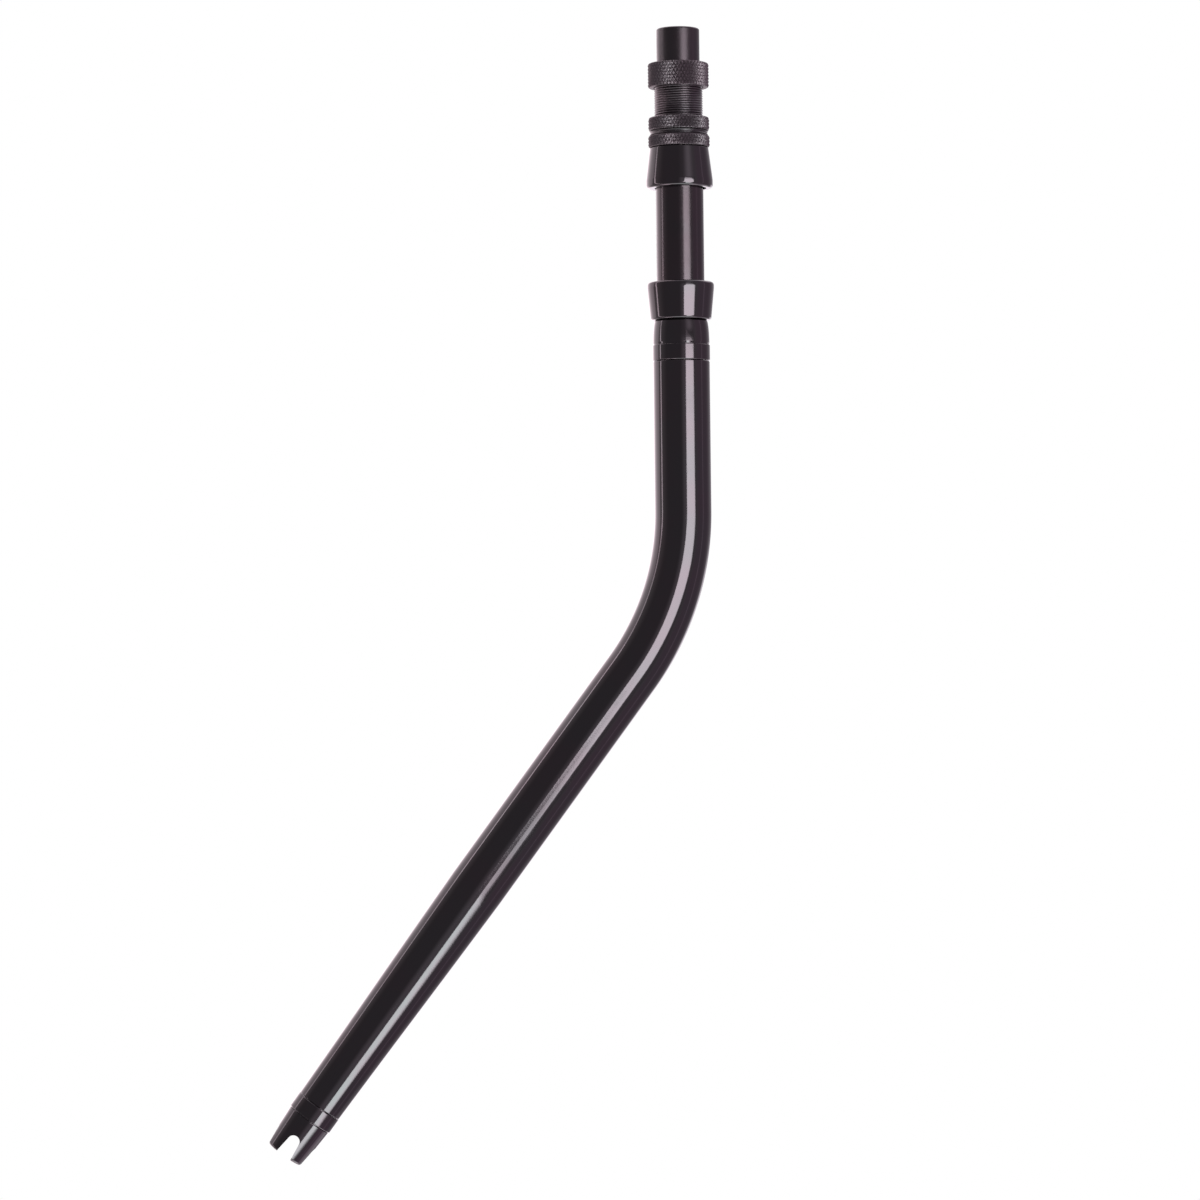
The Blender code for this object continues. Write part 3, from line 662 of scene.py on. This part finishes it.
def tubeRows():
    # (centre, lean, outer radius, wear) from the gimbal's end up to the seat
    bend, full = layout["bendAngle"], layout["tubeRadius"]
    end, lip = tube["endRadius"], tube["lip"]
    slope = Vector((math.sin(bend), 0.0, math.cos(bend)))
    start = tube["gimbalLength"] + layout["joint"]
    lipAngles = [math.pi / 2 * step / tube["lipRows"] for step in range(tube["lipRows"] + 1)]
    rows = []
    for angle in lipAngles:
        centre = slope * (start + lip * (1 - math.cos(angle)))
        rows.append((centre, bend, end - lip * (1 - math.sin(angle)), math.sin(2 * angle)))
    for step in range(1, tube["legRows"] + 1):
        share = step / tube["legRows"]
        eased = share - math.sin(math.tau * share) / math.tau * tube["taperEase"]
        centre = slope * (start + lip + (tube["taperLength"] - lip) * share)
        rows.append((centre, bend, end + (full - end) * eased, 0.0))
    middle = axesMeet + Vector((-layout["bendRadius"], 0.0, bendTangent))
    for step in range(tube["bendRows"] + 1):
        lean = bend * (1 - step / tube["bendRows"])
        across = Vector((math.cos(lean), 0.0, -math.sin(lean)))
        rows.append((middle + across * layout["bendRadius"], lean, full, 0.0))
    for angle in lipAngles:
        height = highOf("butt_tube") - lip * (1 - math.sin(angle))
        radius = full - lip * (1 - math.cos(angle))
        rows.append((Vector((axisX, 0.0, height)), 0.0, radius, math.sin(2 * angle)))
    return rows


def makeTube():
    mesh, edge = newMesh()
    outer, inner = [], []
    for centre, lean, radius, worn in tubeRows():
        across = Vector((math.cos(lean), 0.0, -math.sin(lean)))
        for wall, rows in ((0.0, outer), (layout["tubeWall"], inner)):
            ring = []
            for column in range(tube["columns"]):
                angle = math.tau * column / tube["columns"]
                arm = across * math.cos(angle) + Vector((0.0, math.sin(angle), 0.0))
                vert = mesh.verts.new(centre + arm * (radius - wall))
                vert[edge] = 0.0 if wall else worn
                ring.append(vert)
            rows.append(ring)
    joinAll(mesh, outer)
    joinAll(mesh, inner)
    joinRings(mesh, outer[0], inner[0])
    joinRings(mesh, outer[-1], inner[-1])
    return finishPiece("tube", mesh, Matrix(), glossTube, "butt", "black_gloss", ["butt_tube"])


tubePiece = makeTube()
print("tube ready")

# heights are along the pins' own part, reaches and floors are from its axis
pins = {
    "radius": 2.0 * mm, "hole": 2.3 * mm, "chamfer": 0.35 * mm, "sides": 48,
    "gimbalHeight": 48.2 * mm, "barrelHeight": highOf("butt_tube") - 15.0 * mm,
    "screwHeight": lowOf("lower_hood") + 8.0 * mm, "gimbalReach": (6.625 * mm, 13.25 * mm),
    "barrelReach": (10.85 * mm, 15.675 * mm), "screwReach": (12.5 * mm, 16.8 * mm),
    "gimbalFloor": 5.0 * mm, "tubeFloor": 6.3 * mm, "barrelFloor": 8.0 * mm,
    "screwFloor": 12.2 * mm, "socket": 1.15 * mm, "socketDepth": 1.6 * mm,
    "socketAbove": 1.0 * mm, "socketSides": 6,
}


def pinHole(floor, height, place):
    return cutterOf(backRod(pins["hole"], floor, outOfBack, height), place)


gimbal = {
    "length": 33.2 * mm, "endRadius": 11.6 * mm, "neckRadius": 12.9 * mm,
    "bandRadius": 13.4 * mm, "bandHeight": 24.2 * mm, "bandEdge": 0.35 * mm,
    "neckDrop": 0.35 * mm, "neckEdge": 0.25 * mm, "grooveSpan": (-0.2 * mm, 0.1 * mm),
    "bandRise": 0.2 * mm, "edge": 1.6 * mm, "groove": 0.55 * mm, "spigotRadius": 9.725 * mm,
    "spigotTop": 63.2 * mm, "spigotEdge": 0.5 * mm, "slotMouth": 9.3 * mm, "slotRoot": 7.0 * mm,
    "slotDepth": 13.2 * mm, "slotSteps": 32,
}


def slotTool(look, turn):
    # one slot right through the end, wider at its mouth and round at its root
    root = look["slotRoot"] / 2
    mouth = look["slotMouth"] / 2
    rootHeight = look["slotDepth"] - root
    outline = [(mouth + (mouth - root) / rootHeight * pastEnd, -pastEnd)]
    for step in range(look["slotSteps"] + 1):
        angle = math.pi * step / look["slotSteps"]
        outline.append((root * math.cos(angle), rootHeight + root * math.sin(angle)))
    outline.append((-outline[0][0], -pastEnd))
    mesh = newMesh()[0]
    sides = []
    for run in (-throughAll, throughAll):
        sides.append([mesh.verts.new((across, run, height)) for across, height in outline])
    joinRings(mesh, *sides)
    mesh.faces.new(sides[0])
    mesh.faces.new(sides[1])
    return cutterOf(mesh, onLeg @ Matrix.Rotation(turn, 4, "Z"))


def makeGimbal(look):
    band = look["bandHeight"]
    deep = look["neckRadius"] - look["groove"]
    grooveLow, grooveHigh = look["grooveSpan"]
    corners = [
        (0.0, 0.0),
        (look["endRadius"], 0.0, look["edge"]),
        (look["neckRadius"], band - look["neckDrop"], look["neckEdge"]),
        (deep, band + grooveLow, fineEdge),
        (deep, band + grooveHigh, fineEdge),
        (look["bandRadius"], band + look["bandRise"], look["bandEdge"]),
        (look["bandRadius"], look["length"], look["bandEdge"]),
        (look["spigotRadius"], look["length"]),
        (look["spigotRadius"], look["spigotTop"], look["spigotEdge"]),
        (0.0, look["spigotTop"]),
    ]
    piece = solidTurned("gimbalEnd", corners, onLeg, glossLeg, "butt", "black_gloss", ["gimbal"])
    hole = pinHole(pins["gimbalFloor"], pins["gimbalHeight"], onLeg)
    carve(piece, [slotTool(look, 0.0), slotTool(look, math.pi / 2), hole])


makeGimbal(gimbal)
print("gimbal ready")


def roundPin(name, node, reach, height, place, socket=0.0):
    # a pin along +Y with a chamfer at each end, and a hexagon socket in a screw
    mesh, edge = newMesh()
    radius, chamfer, sides = pins["radius"], pins["chamfer"], pins["sides"]
    inner, outer = reach
    face = radius - chamfer
    points = ((face, inner), (radius, inner + chamfer), (radius, outer - chamfer), (face, outer))
    rows = []
    for rowRadius, along in points:
        row = []
        for column in range(sides):
            across, up, along = polar(rowRadius, math.tau * column / sides, along)
            vert = mesh.verts.new((across, along, height + up))
            vert[edge] = wearAt["pin"]
            row.append(vert)
        rows.append(row)
    joinAll(mesh, rows)
    mesh.faces.new(rows[0])
    mesh.faces.new(rows[-1])
    piece = finishPiece(name, mesh, place, steel, "butt", "steel", [node])
    if socket:
        floor, above = outer - pins["socketDepth"], outer + pins["socketAbove"]
        tool = backRod(socket, floor, above, height, pins["socketSides"])
        carve(piece, [cutterOf(tool, place)])


roundPin("gimbalCrosspin", "gimbal_pin", pins["gimbalReach"], pins["gimbalHeight"], onLeg)
roundPin("barrelCrosspin", "barrel_pin", pins["barrelReach"], pins["barrelHeight"], onSeat)
screw = (pins["screwReach"], pins["screwHeight"], onSeat, pins["socket"])
roundPin("hoodSetScrew", "hood_screw", *screw)
gimbalHole = pinHole(pins["tubeFloor"], pins["gimbalHeight"], onLeg)
carve(tubePiece, [gimbalHole, pinHole(pins["barrelFloor"], pins["barrelHeight"], onSeat)])
print("pins ready")

threadShape = (1.0, 0.62, 0.12, 0.0, 0.12, 0.62)  # depth at equal steps across one pitch


def threadSkin(mesh, edge, columns, look, low, high):
    # one continuous helix, right-handed, that runs out at both ends. A negative depth cuts
    # outward
    steps = len(threadShape)
    pitch = look["pitch"]
    rows = (math.ceil((high - low) / pitch) + 2) * steps
    grid = []
    for column in range(columns):
        line = []
        for row in range(rows + steps + 1):
            height = low - pitch + pitch * (row / steps + column / columns)
            height = min(max(height, low), high)
            runOut = min(1.0, (height - low) / look["runOut"], (high - height) / look["runOut"])
            depth = threadShape[row % steps]
            radius = look["crest"] - look["depth"] * depth * runOut
            vert = mesh.verts.new(polar(radius, math.tau * column / columns, height))
            vert[edge] = wearAt["crest"] if depth == 0.0 else 0.0
            line.append(vert)
        grid.append(line)
    for column, line in enumerate(grid):
        following = grid[0][steps:] if column == columns - 1 else grid[column + 1]
        for row in range(rows):
            mesh.faces.new((line[row], following[row], following[row + 1], line[row + 1]))


barrel = {
    "radius": 13.4 * mm, "edge": 0.2 * mm, "bore": 10.55 * mm, "boreEdge": 0.3 * mm,
    "spigotRadius": 12.4 * mm, "spigotEdge": 0.8 * mm, "neckRadius": 12.1 * mm,
    "threadLength": 60.0 * mm, "threadRise": 0.2 * mm, "topChamfer": 0.5 * mm,
    "keywayWidth": 3.0 * mm, "keywayFloor": 12.1 * mm, "keywayLead": 3.0 * mm,
    "notchFloor": 8.5 * mm, "notchLength": 6.0 * mm, "columns": 144,
    "thread": {"crest": 13.6 * mm, "depth": 0.45 * mm, "pitch": 1.35 * mm, "runOut": 1.2 * mm},
}


def makeBarrel(look):
    base, top = heights("seat_barrel")
    shoulder = highOf("butt_tube")
    threadLow = top - look["threadLength"]
    crest, chamfer = look["thread"]["crest"], look["topChamfer"]
    corners = [
        (crest, top - chamfer),
        (crest - chamfer, top),
        (look["bore"], top, look["boreEdge"]),
        (look["bore"], base, look["boreEdge"]),
        (look["spigotRadius"], base, look["spigotEdge"]),
        (look["spigotRadius"], shoulder, look["edge"]),
        (look["neckRadius"], shoulder),
        (look["neckRadius"], shoulder + layout["joint"]),
        (look["radius"], shoulder + layout["joint"], look["edge"]),
        (look["radius"], threadLow),
        (crest, threadLow + look["threadRise"]),
    ]
    columns = look["columns"]
    mesh, edge = newMesh()
    joinAll(mesh, ringsOf(mesh, edge, softened(corners), columns))
    turnedFaces = len(mesh.faces)
    threaded = (threadLow + look["threadRise"], top - chamfer)
    threadSkin(mesh, edge, columns, look["thread"], *threaded)
    mesh.faces.ensure_lookup_table()
    for face in mesh.faces[turnedFaces:]:
        face.material_index = 1
    bmesh.ops.remove_doubles(mesh, verts=mesh.verts, dist=weld)
    rest = (onSeat, barrelBlack, "butt", "black_gloss", ["seat_barrel"])
    piece = finishPiece("threadedBarrel", mesh, *rest)
    piece.data.materials.append(threadBlack)
    half = look["keywayWidth"] / 2
    keyLow = highOf("lower_hood") + look["keywayLead"]
    keyway = brick((-throughAll, -half, keyLow), (-look["keywayFloor"], half, top + pastEnd))
    notchLow = top - look["notchLength"]
    notch = brick((-half, look["notchFloor"], notchLow), (half, throughAll, top + pastEnd))
    pin = pinHole(pins["barrelFloor"], pins["barrelHeight"], onSeat)
    screwHole = pinHole(pins["screwFloor"], pins["screwHeight"], onSeat)
    carve(piece, [cutterOf(keyway, onSeat), cutterOf(notch, onSeat), pin, screwHole])


makeBarrel(barrel)
print("barrel and thread ready")

collar = {
    "bore": 13.7 * mm, "boreEdge": 0.2 * mm, "bandRadius": 16.075 * mm, "band": 9.0 * mm,
    "bandLow": 0.45 * mm, "bandHigh": 0.25 * mm, "baseEdge": 0.1 * mm, "lowEdge": 0.35 * mm,
    "highEdge": 0.3 * mm, "shoulderRadius": 15.85 * mm, "topRadius": 14.35 * mm, "domeSteps": 14,
    "domeStart": 0.06, "domeEdge": 0.25 * mm, "groove": 0.55 * mm,
    "grooveSpan": (-0.05 * mm, 0.2 * mm),
    "underHood": 0.02 * mm,  # it touches the hood
}


def makeCollar(look):
    base, top = lowOf("seat_collar"), lowOf("lower_hood") - look["underHood"]
    crown = base + look["band"]
    deep = look["bandRadius"] - look["groove"]
    grooveLow, grooveHigh = look["grooveSpan"]
    corners = [
        (look["bore"], base, look["boreEdge"]),
        (deep + look["baseEdge"], base, look["baseEdge"]),
        (look["bandRadius"], base + look["bandLow"], look["lowEdge"]),
        (look["bandRadius"], crown - look["bandHigh"], look["highEdge"]),
        (deep, crown + grooveLow, fineEdge),
        (deep, crown + grooveHigh, fineEdge),
    ]
    start, steps = look["domeStart"], look["domeSteps"]
    for step in range(steps + 1):
        angle = math.pi / 2 * (start + (1 - start) * step / steps)
        swell = (look["shoulderRadius"] - look["topRadius"]) * math.cos(angle)
        rounding = look["domeEdge"] if step in (0, steps) else 0.0
        height = crown + (top - crown) * math.sin(angle)
        corners.append((look["topRadius"] + swell, height, rounding))
    corners.append((look["bore"], top, look["boreEdge"]))
    turned("domedCollar", corners, onSeat, glossSeat, "butt", "black_gloss", ["seat_collar"])


makeCollar(collar)
print("collar ready")

hoods = {
    "lip": 18.75 * mm, "pocketFloor": 11.5 * mm, "pocketWall": 2.5 * mm,
    "pocketDepth": 14.0 * mm, "pocketSweep": math.radians(76.0), "pocketSteps": 36,
    "pocketEdge": 0.35 * mm, "keyHalf": 1.5 * mm, "keyGap": 0.3 * mm,
    "keySeat": (-15.6 * mm, -11.9 * mm), "keyEdge": 0.3 * mm,
    "lower": {
        "bore": 13.7 * mm, "baseBoreEdge": 0.2 * mm, "topBoreEdge": 0.3 * mm, "base": 17.0 * mm,
        "cone": 18.0 * mm, "swell": 6.0 * mm, "edge": 1.6 * mm, "lipEdge": 1.7 * mm,
    },
    "upper": {
        "bore": 13.9 * mm, "boreEdge": 0.3 * mm, "recess": 15.4 * mm, "recessDepth": 1.8 * mm,
        "recessEdge": 0.2 * mm, "stepEdge": 0.15 * mm, "top": 16.45 * mm, "cone": 4.6 * mm,
        "swell": 9.0 * mm, "edge": 0.7 * mm, "lipEdge": 1.9 * mm,
    },
}


def pocketTool(reach, low, high):
    # part of a thick ring, centred on +X
    mesh = newMesh()[0]
    floor = hoods["pocketFloor"]
    outline = ((floor, low), (reach, low), (reach, high), (floor, high))
    slices = []
    for step in range(hoods["pocketSteps"] + 1):
        angle = hoods["pocketSweep"] * (step / hoods["pocketSteps"] - 0.5)
        slices.append([mesh.verts.new(polar(radius, angle, z)) for radius, z in outline])
    joinAll(mesh, slices)
    mesh.faces.new(slices[0])
    mesh.faces.new(slices[-1])
    return cutterOf(mesh, onSeat)


def makeLowerHood(look):
    base, top = heights("lower_hood")
    corners = [
        (look["bore"], base, look["baseBoreEdge"]),
        (look["base"], base, look["edge"]),
        (hoods["lip"], base + look["cone"], look["swell"]),
        (hoods["lip"], top, look["lipEdge"]),
        (look["bore"], top, look["topBoreEdge"]),
    ]
    piece = turned("fixedHood", corners, onSeat, glossSeat, "butt", "black_gloss", ["lower_hood"])
    share = (top - hoods["pocketDepth"] - base) / look["cone"]
    reach = look["base"] + (hoods["lip"] - look["base"]) * share - hoods["pocketWall"]
    pocket = pocketTool(reach, top - hoods["pocketDepth"], top + pastEnd)
    hole = pinHole(pins["screwFloor"], pins["screwHeight"], onSeat)
    carve(piece, [pocket, hole], hoods["pocketEdge"])


def makeUpperHood(look):
    base, top = heights("upper_hood")
    recessFloor = top - look["recessDepth"]
    corners = [
        (look["bore"], base, look["boreEdge"]),
        (hoods["lip"], base, look["lipEdge"]),
        (hoods["lip"], base + look["cone"], look["swell"]),
        (look["top"], top, look["edge"]),
        (look["recess"], top, look["recessEdge"]),
        (look["recess"], recessFloor),
        (look["bore"], recessFloor, look["stepEdge"]),
    ]
    rest = (glossSeat, "hood", "black_gloss", ["upper_hood"])
    piece = turned("slidingHood", corners, onSeat, *rest)
    share = (hoods["pocketDepth"] - look["cone"]) / (top - base - look["cone"])
    reach = hoods["lip"] - (hoods["lip"] - look["top"]) * share - hoods["pocketWall"]
    pocket = pocketTool(reach, base - pastEnd, base + hoods["pocketDepth"])
    half, gap = hoods["keyHalf"], hoods["keyGap"]
    far, near = hoods["keySeat"]
    keyLow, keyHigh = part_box("hood_key")
    seat = brick((far, -half, keyLow.z - gap), (near, half, keyHigh.z + gap))
    carve(piece, [pocket, cutterOf(seat, onSeat)], hoods["pocketEdge"])


def keyPiece(name, node, body, rounding):
    low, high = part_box(node)
    mesh = brick(low, high, rounding)
    finishPiece(name, mesh, Matrix(), brass, body, "brass", [node])


makeLowerHood(hoods["lower"])
makeUpperHood(hoods["upper"])
keyPiece("slidingKey", "hood_key", "hood", hoods["keyEdge"])
print("hoods ready")

knurl = {
    "depth": 0.7 * mm, "pitch": 3.68 * mm, "corner": 1.35 * mm,
    "cornerRows": (0.0, 0.1, 0.3),  # as shares of the corner
    "cornerEnd": 0.4, "around": 52,
    "steps": 4,  # rows to a pitch, and columns to a diamond
    "tip": 0.9,
}


def wave(value):
    # 0 at whole numbers, 1 halfway between them
    return 1 - abs((value % 1.0) * 2 - 1)


def flatter(a, b, c, d):
    # whether a face is better cut from a to c than from b to d
    return abs(a.co.xy.length - c.co.xy.length) <= abs(b.co.xy.length - d.co.xy.length)


def knurlSkin(mesh, edge, columns, crest, low, high):
    # a diamond knurl between two heights, rounded off at both ends. Its grooves follow mesh
    # edges
    corner = knurl["corner"]
    step = knurl["pitch"] / knurl["steps"]
    middle = (low + high) / 2
    reach = int((high - low) / 2 / step)
    levels = [middle + step * index for index in range(-reach, reach + 1)]
    inset = corner * knurl["cornerEnd"]
    levels = [height for height in levels if low + inset < height < high - inset]
    for share in knurl["cornerRows"]:
        levels += [low + corner * share, high - corner * share]
    rows = []
    for height in sorted(levels):
        fromEnd = min(height - low, high - height, corner)
        rounded = math.sqrt(max(0.0, corner ** 2 - (corner - fromEnd) ** 2))
        rise = (height - middle) / knurl["pitch"]
        row = []
        for column in range(columns):
            turn = column / columns * knurl["around"]
            tip = min(wave(turn + rise), wave(turn - rise))
            radius = min(crest - knurl["depth"] * (1 - tip), crest - corner + rounded)
            vert = mesh.verts.new(polar(radius, math.tau * column / columns, height))
            vert[edge] = wearAt["tip"] if tip > knurl["tip"] else 0.0
            row.append(vert)
        rows.append(row)
    joinAll(mesh, rows, flatter)


rings = {
    "bore": 13.9 * mm, "clampRadius": 17.35 * mm, "jamRadius": 17.2 * mm, "face": 15.2 * mm,
    "mouth": 14.2 * mm, "mouthDepth": 0.3 * mm,
    "thread": {"crest": 13.9 * mm, "depth": -0.55 * mm, "pitch": 1.35 * mm, "runOut": 0.9 * mm},
}


def knurledPiece(name, node, crest, ends, threaded, body):
    # knurled outside and threaded inside, as two skins between its two turned ends
    columns = knurl["around"] * knurl["steps"]
    mesh, edge = newMesh()
    for outline in ends:
        joinAll(mesh, ringsOf(mesh, edge, outline, columns))
    knurlSkin(mesh, edge, columns, crest, *heights(node))
    threadSkin(mesh, edge, columns, rings["thread"], *threaded)
    bmesh.ops.remove_doubles(mesh, verts=mesh.verts, dist=weld)
    finishPiece(name, mesh, onSeat, knurlBlack, body, "black_satin", [node])


def makeRing(name, node, radius, body):
    low, high = heights(node)
    into = rings["mouthDepth"]
    ends = []
    for height, threadEnd in ((low, low + into), (high, high - into)):
        ends.append((
            (radius - knurl["corner"], height, wearAt["corner"]),
            (rings["face"], height, 0.0),
            (rings["mouth"], height, wearAt["mouth"]),
            (rings["bore"], threadEnd, wearAt["thread"]),
        ))
    knurledPiece(name, node, radius, ends, (low + into, high - into), body)


washers = {
    "tongueHalf": 1.2 * mm, "tongue": (-14.5 * mm, -12.4 * mm), "jamEdge": 16.4 * mm,
    "jamChamfer": 0.1 * mm, "jamLand": 0.2 * mm, "jamHollow": 0.5 * mm, "jamSteps": 8,
    "thrustEdge": 15.1 * mm, "thrustRounding": 0.2 * mm, "slipBore": 12.4 * mm,
    "slipRounding": 0.15 * mm, "slipColumns": 128,
}


def tonguedWasher(name, node, corners, material, body, slot):
    low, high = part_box(node)
    piece = turned(name, corners, onSeat, material, body, slot, [node])
    half = washers["tongueHalf"]
    far, near = washers["tongue"]
    tongue = brick((far, -half, low.z), (near, half, high.z))
    carve(piece, [cutterOf(tongue, onSeat)], operation="UNION")


def makeJamWasher():
    low, high = heights("jam_washer")
    bore, edge, land = rings["bore"], washers["jamEdge"], washers["jamLand"]
    chamfer, steps = washers["jamChamfer"], washers["jamSteps"]
    corners = [(bore, low), (edge - chamfer, low, chamfer), (edge, low + land, chamfer)]
    for step in range(1, steps):
        share = step / steps
        hollow = washers["jamHollow"] * math.sin(math.pi * share)
        corners.append((edge - hollow, low + land + (high - low - land * 2) * share))
    corners += [(edge, high - land, chamfer), (edge - chamfer, high, chamfer), (bore, high)]
    tonguedWasher("jamWasher", "jam_washer", corners, satinBlack, "jam_carrier", "black_satin")


def makeThrustWasher():
    low, high = heights("thrust_washer")
    bore, edge, soft = rings["bore"], washers["thrustEdge"], washers["thrustRounding"]
    corners = [(bore, low), (edge, low, soft), (edge, high, soft), (bore, high)]
    tonguedWasher("thrustWasher", "thrust_washer", corners, nylon, "thrust_carrier", "nylon")


makeThrustWasher()
makeRing("clampRing", "clamp_ring", rings["clampRadius"], "clamp")
makeJamWasher()
makeRing("jamRing", "jam_ring", rings["jamRadius"], "jam")
print("rings ready")

ferrule = {
    "radius": 12.1 * mm, "bore": 8.75 * mm, "boreEdge": 0.5 * mm, "floorEdge": 0.6 * mm,
    "edge": 1.1 * mm, "flangeRadius": 13.6 * mm, "flangeHeight": 60.0 * mm, "flange": 2.0 * mm,
    "flangeEdge": 0.25 * mm, "spigotRadius": 10.25 * mm, "spigotEdge": 0.8 * mm,
    "nose": 8.0 * mm,
    "ringGroove": 0.85 * mm,  # half its width
    "grooveDepth": 1.4 * mm, "grooveEdge": 0.1 * mm, "keyHalf": 1.5 * mm, "keyGap": 0.3 * mm,
    "keySeat": (9.35 * mm, 16.0 * mm), "keyEdge": 0.25 * mm, "ringSteps": 24, "ringColumns": 96,
}


def makeFerrule(look):
    base, top = heights("rod_ferrule")
    flangeLow = base + look["flangeHeight"]
    flangeHigh = flangeLow + look["flange"]
    spigot, grooveEdge = look["spigotRadius"], look["grooveEdge"]
    grooveLow = base + look["nose"] / 2 - look["ringGroove"]
    grooveHigh = base + look["nose"] / 2 + look["ringGroove"]
    corners = [
        (0.0, base),
        (spigot, base, look["spigotEdge"]),
        (spigot, grooveLow, grooveEdge),
        (spigot - look["grooveDepth"], grooveLow),
        (spigot - look["grooveDepth"], grooveHigh),
        (spigot, grooveHigh, grooveEdge),
        (spigot, flangeLow),
        (look["flangeRadius"], flangeLow, look["flangeEdge"]),
        (look["flangeRadius"], flangeHigh, look["flangeEdge"]),
        (look["radius"], flangeHigh),
        (look["radius"], top, look["edge"]),
        (look["bore"], top, look["boreEdge"]),
        (look["bore"], base + look["nose"], look["floorEdge"]),
        (0.0, base + look["nose"]),
    ]
    rest = (onSeat, satinBlack, "ferrule", "black_satin", ["rod_ferrule"])
    piece = solidTurned("rodFerrule", corners, *rest)
    half = look["keyHalf"]
    near, far = look["keySeat"]
    keyLow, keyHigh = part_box("ferrule_key")
    seat = brick((-half, near, keyLow.z - look["keyGap"]), (half, far, flangeLow))
    carve(piece, [cutterOf(seat, onSeat)])


def makeRubberRing():
    low, high = heights("ferrule_o_ring")
    radius = (high - low) / 2
    middle = halfWidth("ferrule_o_ring") - radius
    corners = []
    for step in range(ferrule["ringSteps"]):
        angle = math.tau * step / ferrule["ringSteps"]
        height = (low + high) / 2 + radius * math.sin(angle)
        corners.append((middle + radius * math.cos(angle), height))
    rest = (rubber, "ferrule", "rubber", ["ferrule_o_ring"], ferrule["ringColumns"])
    turned("rubberRing", corners, onSeat, *rest)


def makeSlipWasher():
    low, high = heights("slip_washer")
    inner, outer = washers["slipBore"], halfWidth("slip_washer")
    soft = washers["slipRounding"]
    corners = [(inner, low, soft), (outer, low, soft), (outer, high, soft), (inner, high, soft)]
    rest = (nylon, "nut_carrier", "nylon", ["slip_washer"], washers["slipColumns"])
    turned("slipWasher", corners, onSeat, *rest)


nut = {
    "mouth": 14.3 * mm, "mouthDepth": 0.4 * mm, "hole": 12.4 * mm, "holeMouth": 12.7 * mm,
    "holeChamfer": 0.3 * mm, "lip": 1.6 * mm,
}


def makeNut(look):
    low, high = heights("ferrule_nut")
    radius = halfWidth("ferrule_nut")
    rim = radius - knurl["corner"]
    threadLow, lip = low + look["mouthDepth"], high - look["lip"]
    underside = (
        (rim, low, wearAt["corner"]),
        (look["mouth"], low, 0.0),
        (rings["bore"], threadLow, wearAt["mouth"]),
    )
    upside = (
        (rim, high, wearAt["corner"]),
        (look["holeMouth"], high, 0.0),
        (look["hole"], high - look["holeChamfer"], wearAt["mouth"]),
        (look["hole"], lip, 0.0),
        (rings["bore"], lip, 0.0),
    )
    ends = (underside, upside)
    knurledPiece("ferruleNut", "ferrule_nut", radius, ends, (threadLow, lip), "nut")


makeFerrule(ferrule)
makeRubberRing()
keyPiece("ferruleKey", "ferrule_key", "ferrule", ferrule["keyEdge"])
makeSlipWasher()
makeNut(nut)
print("ferrule and nut ready")
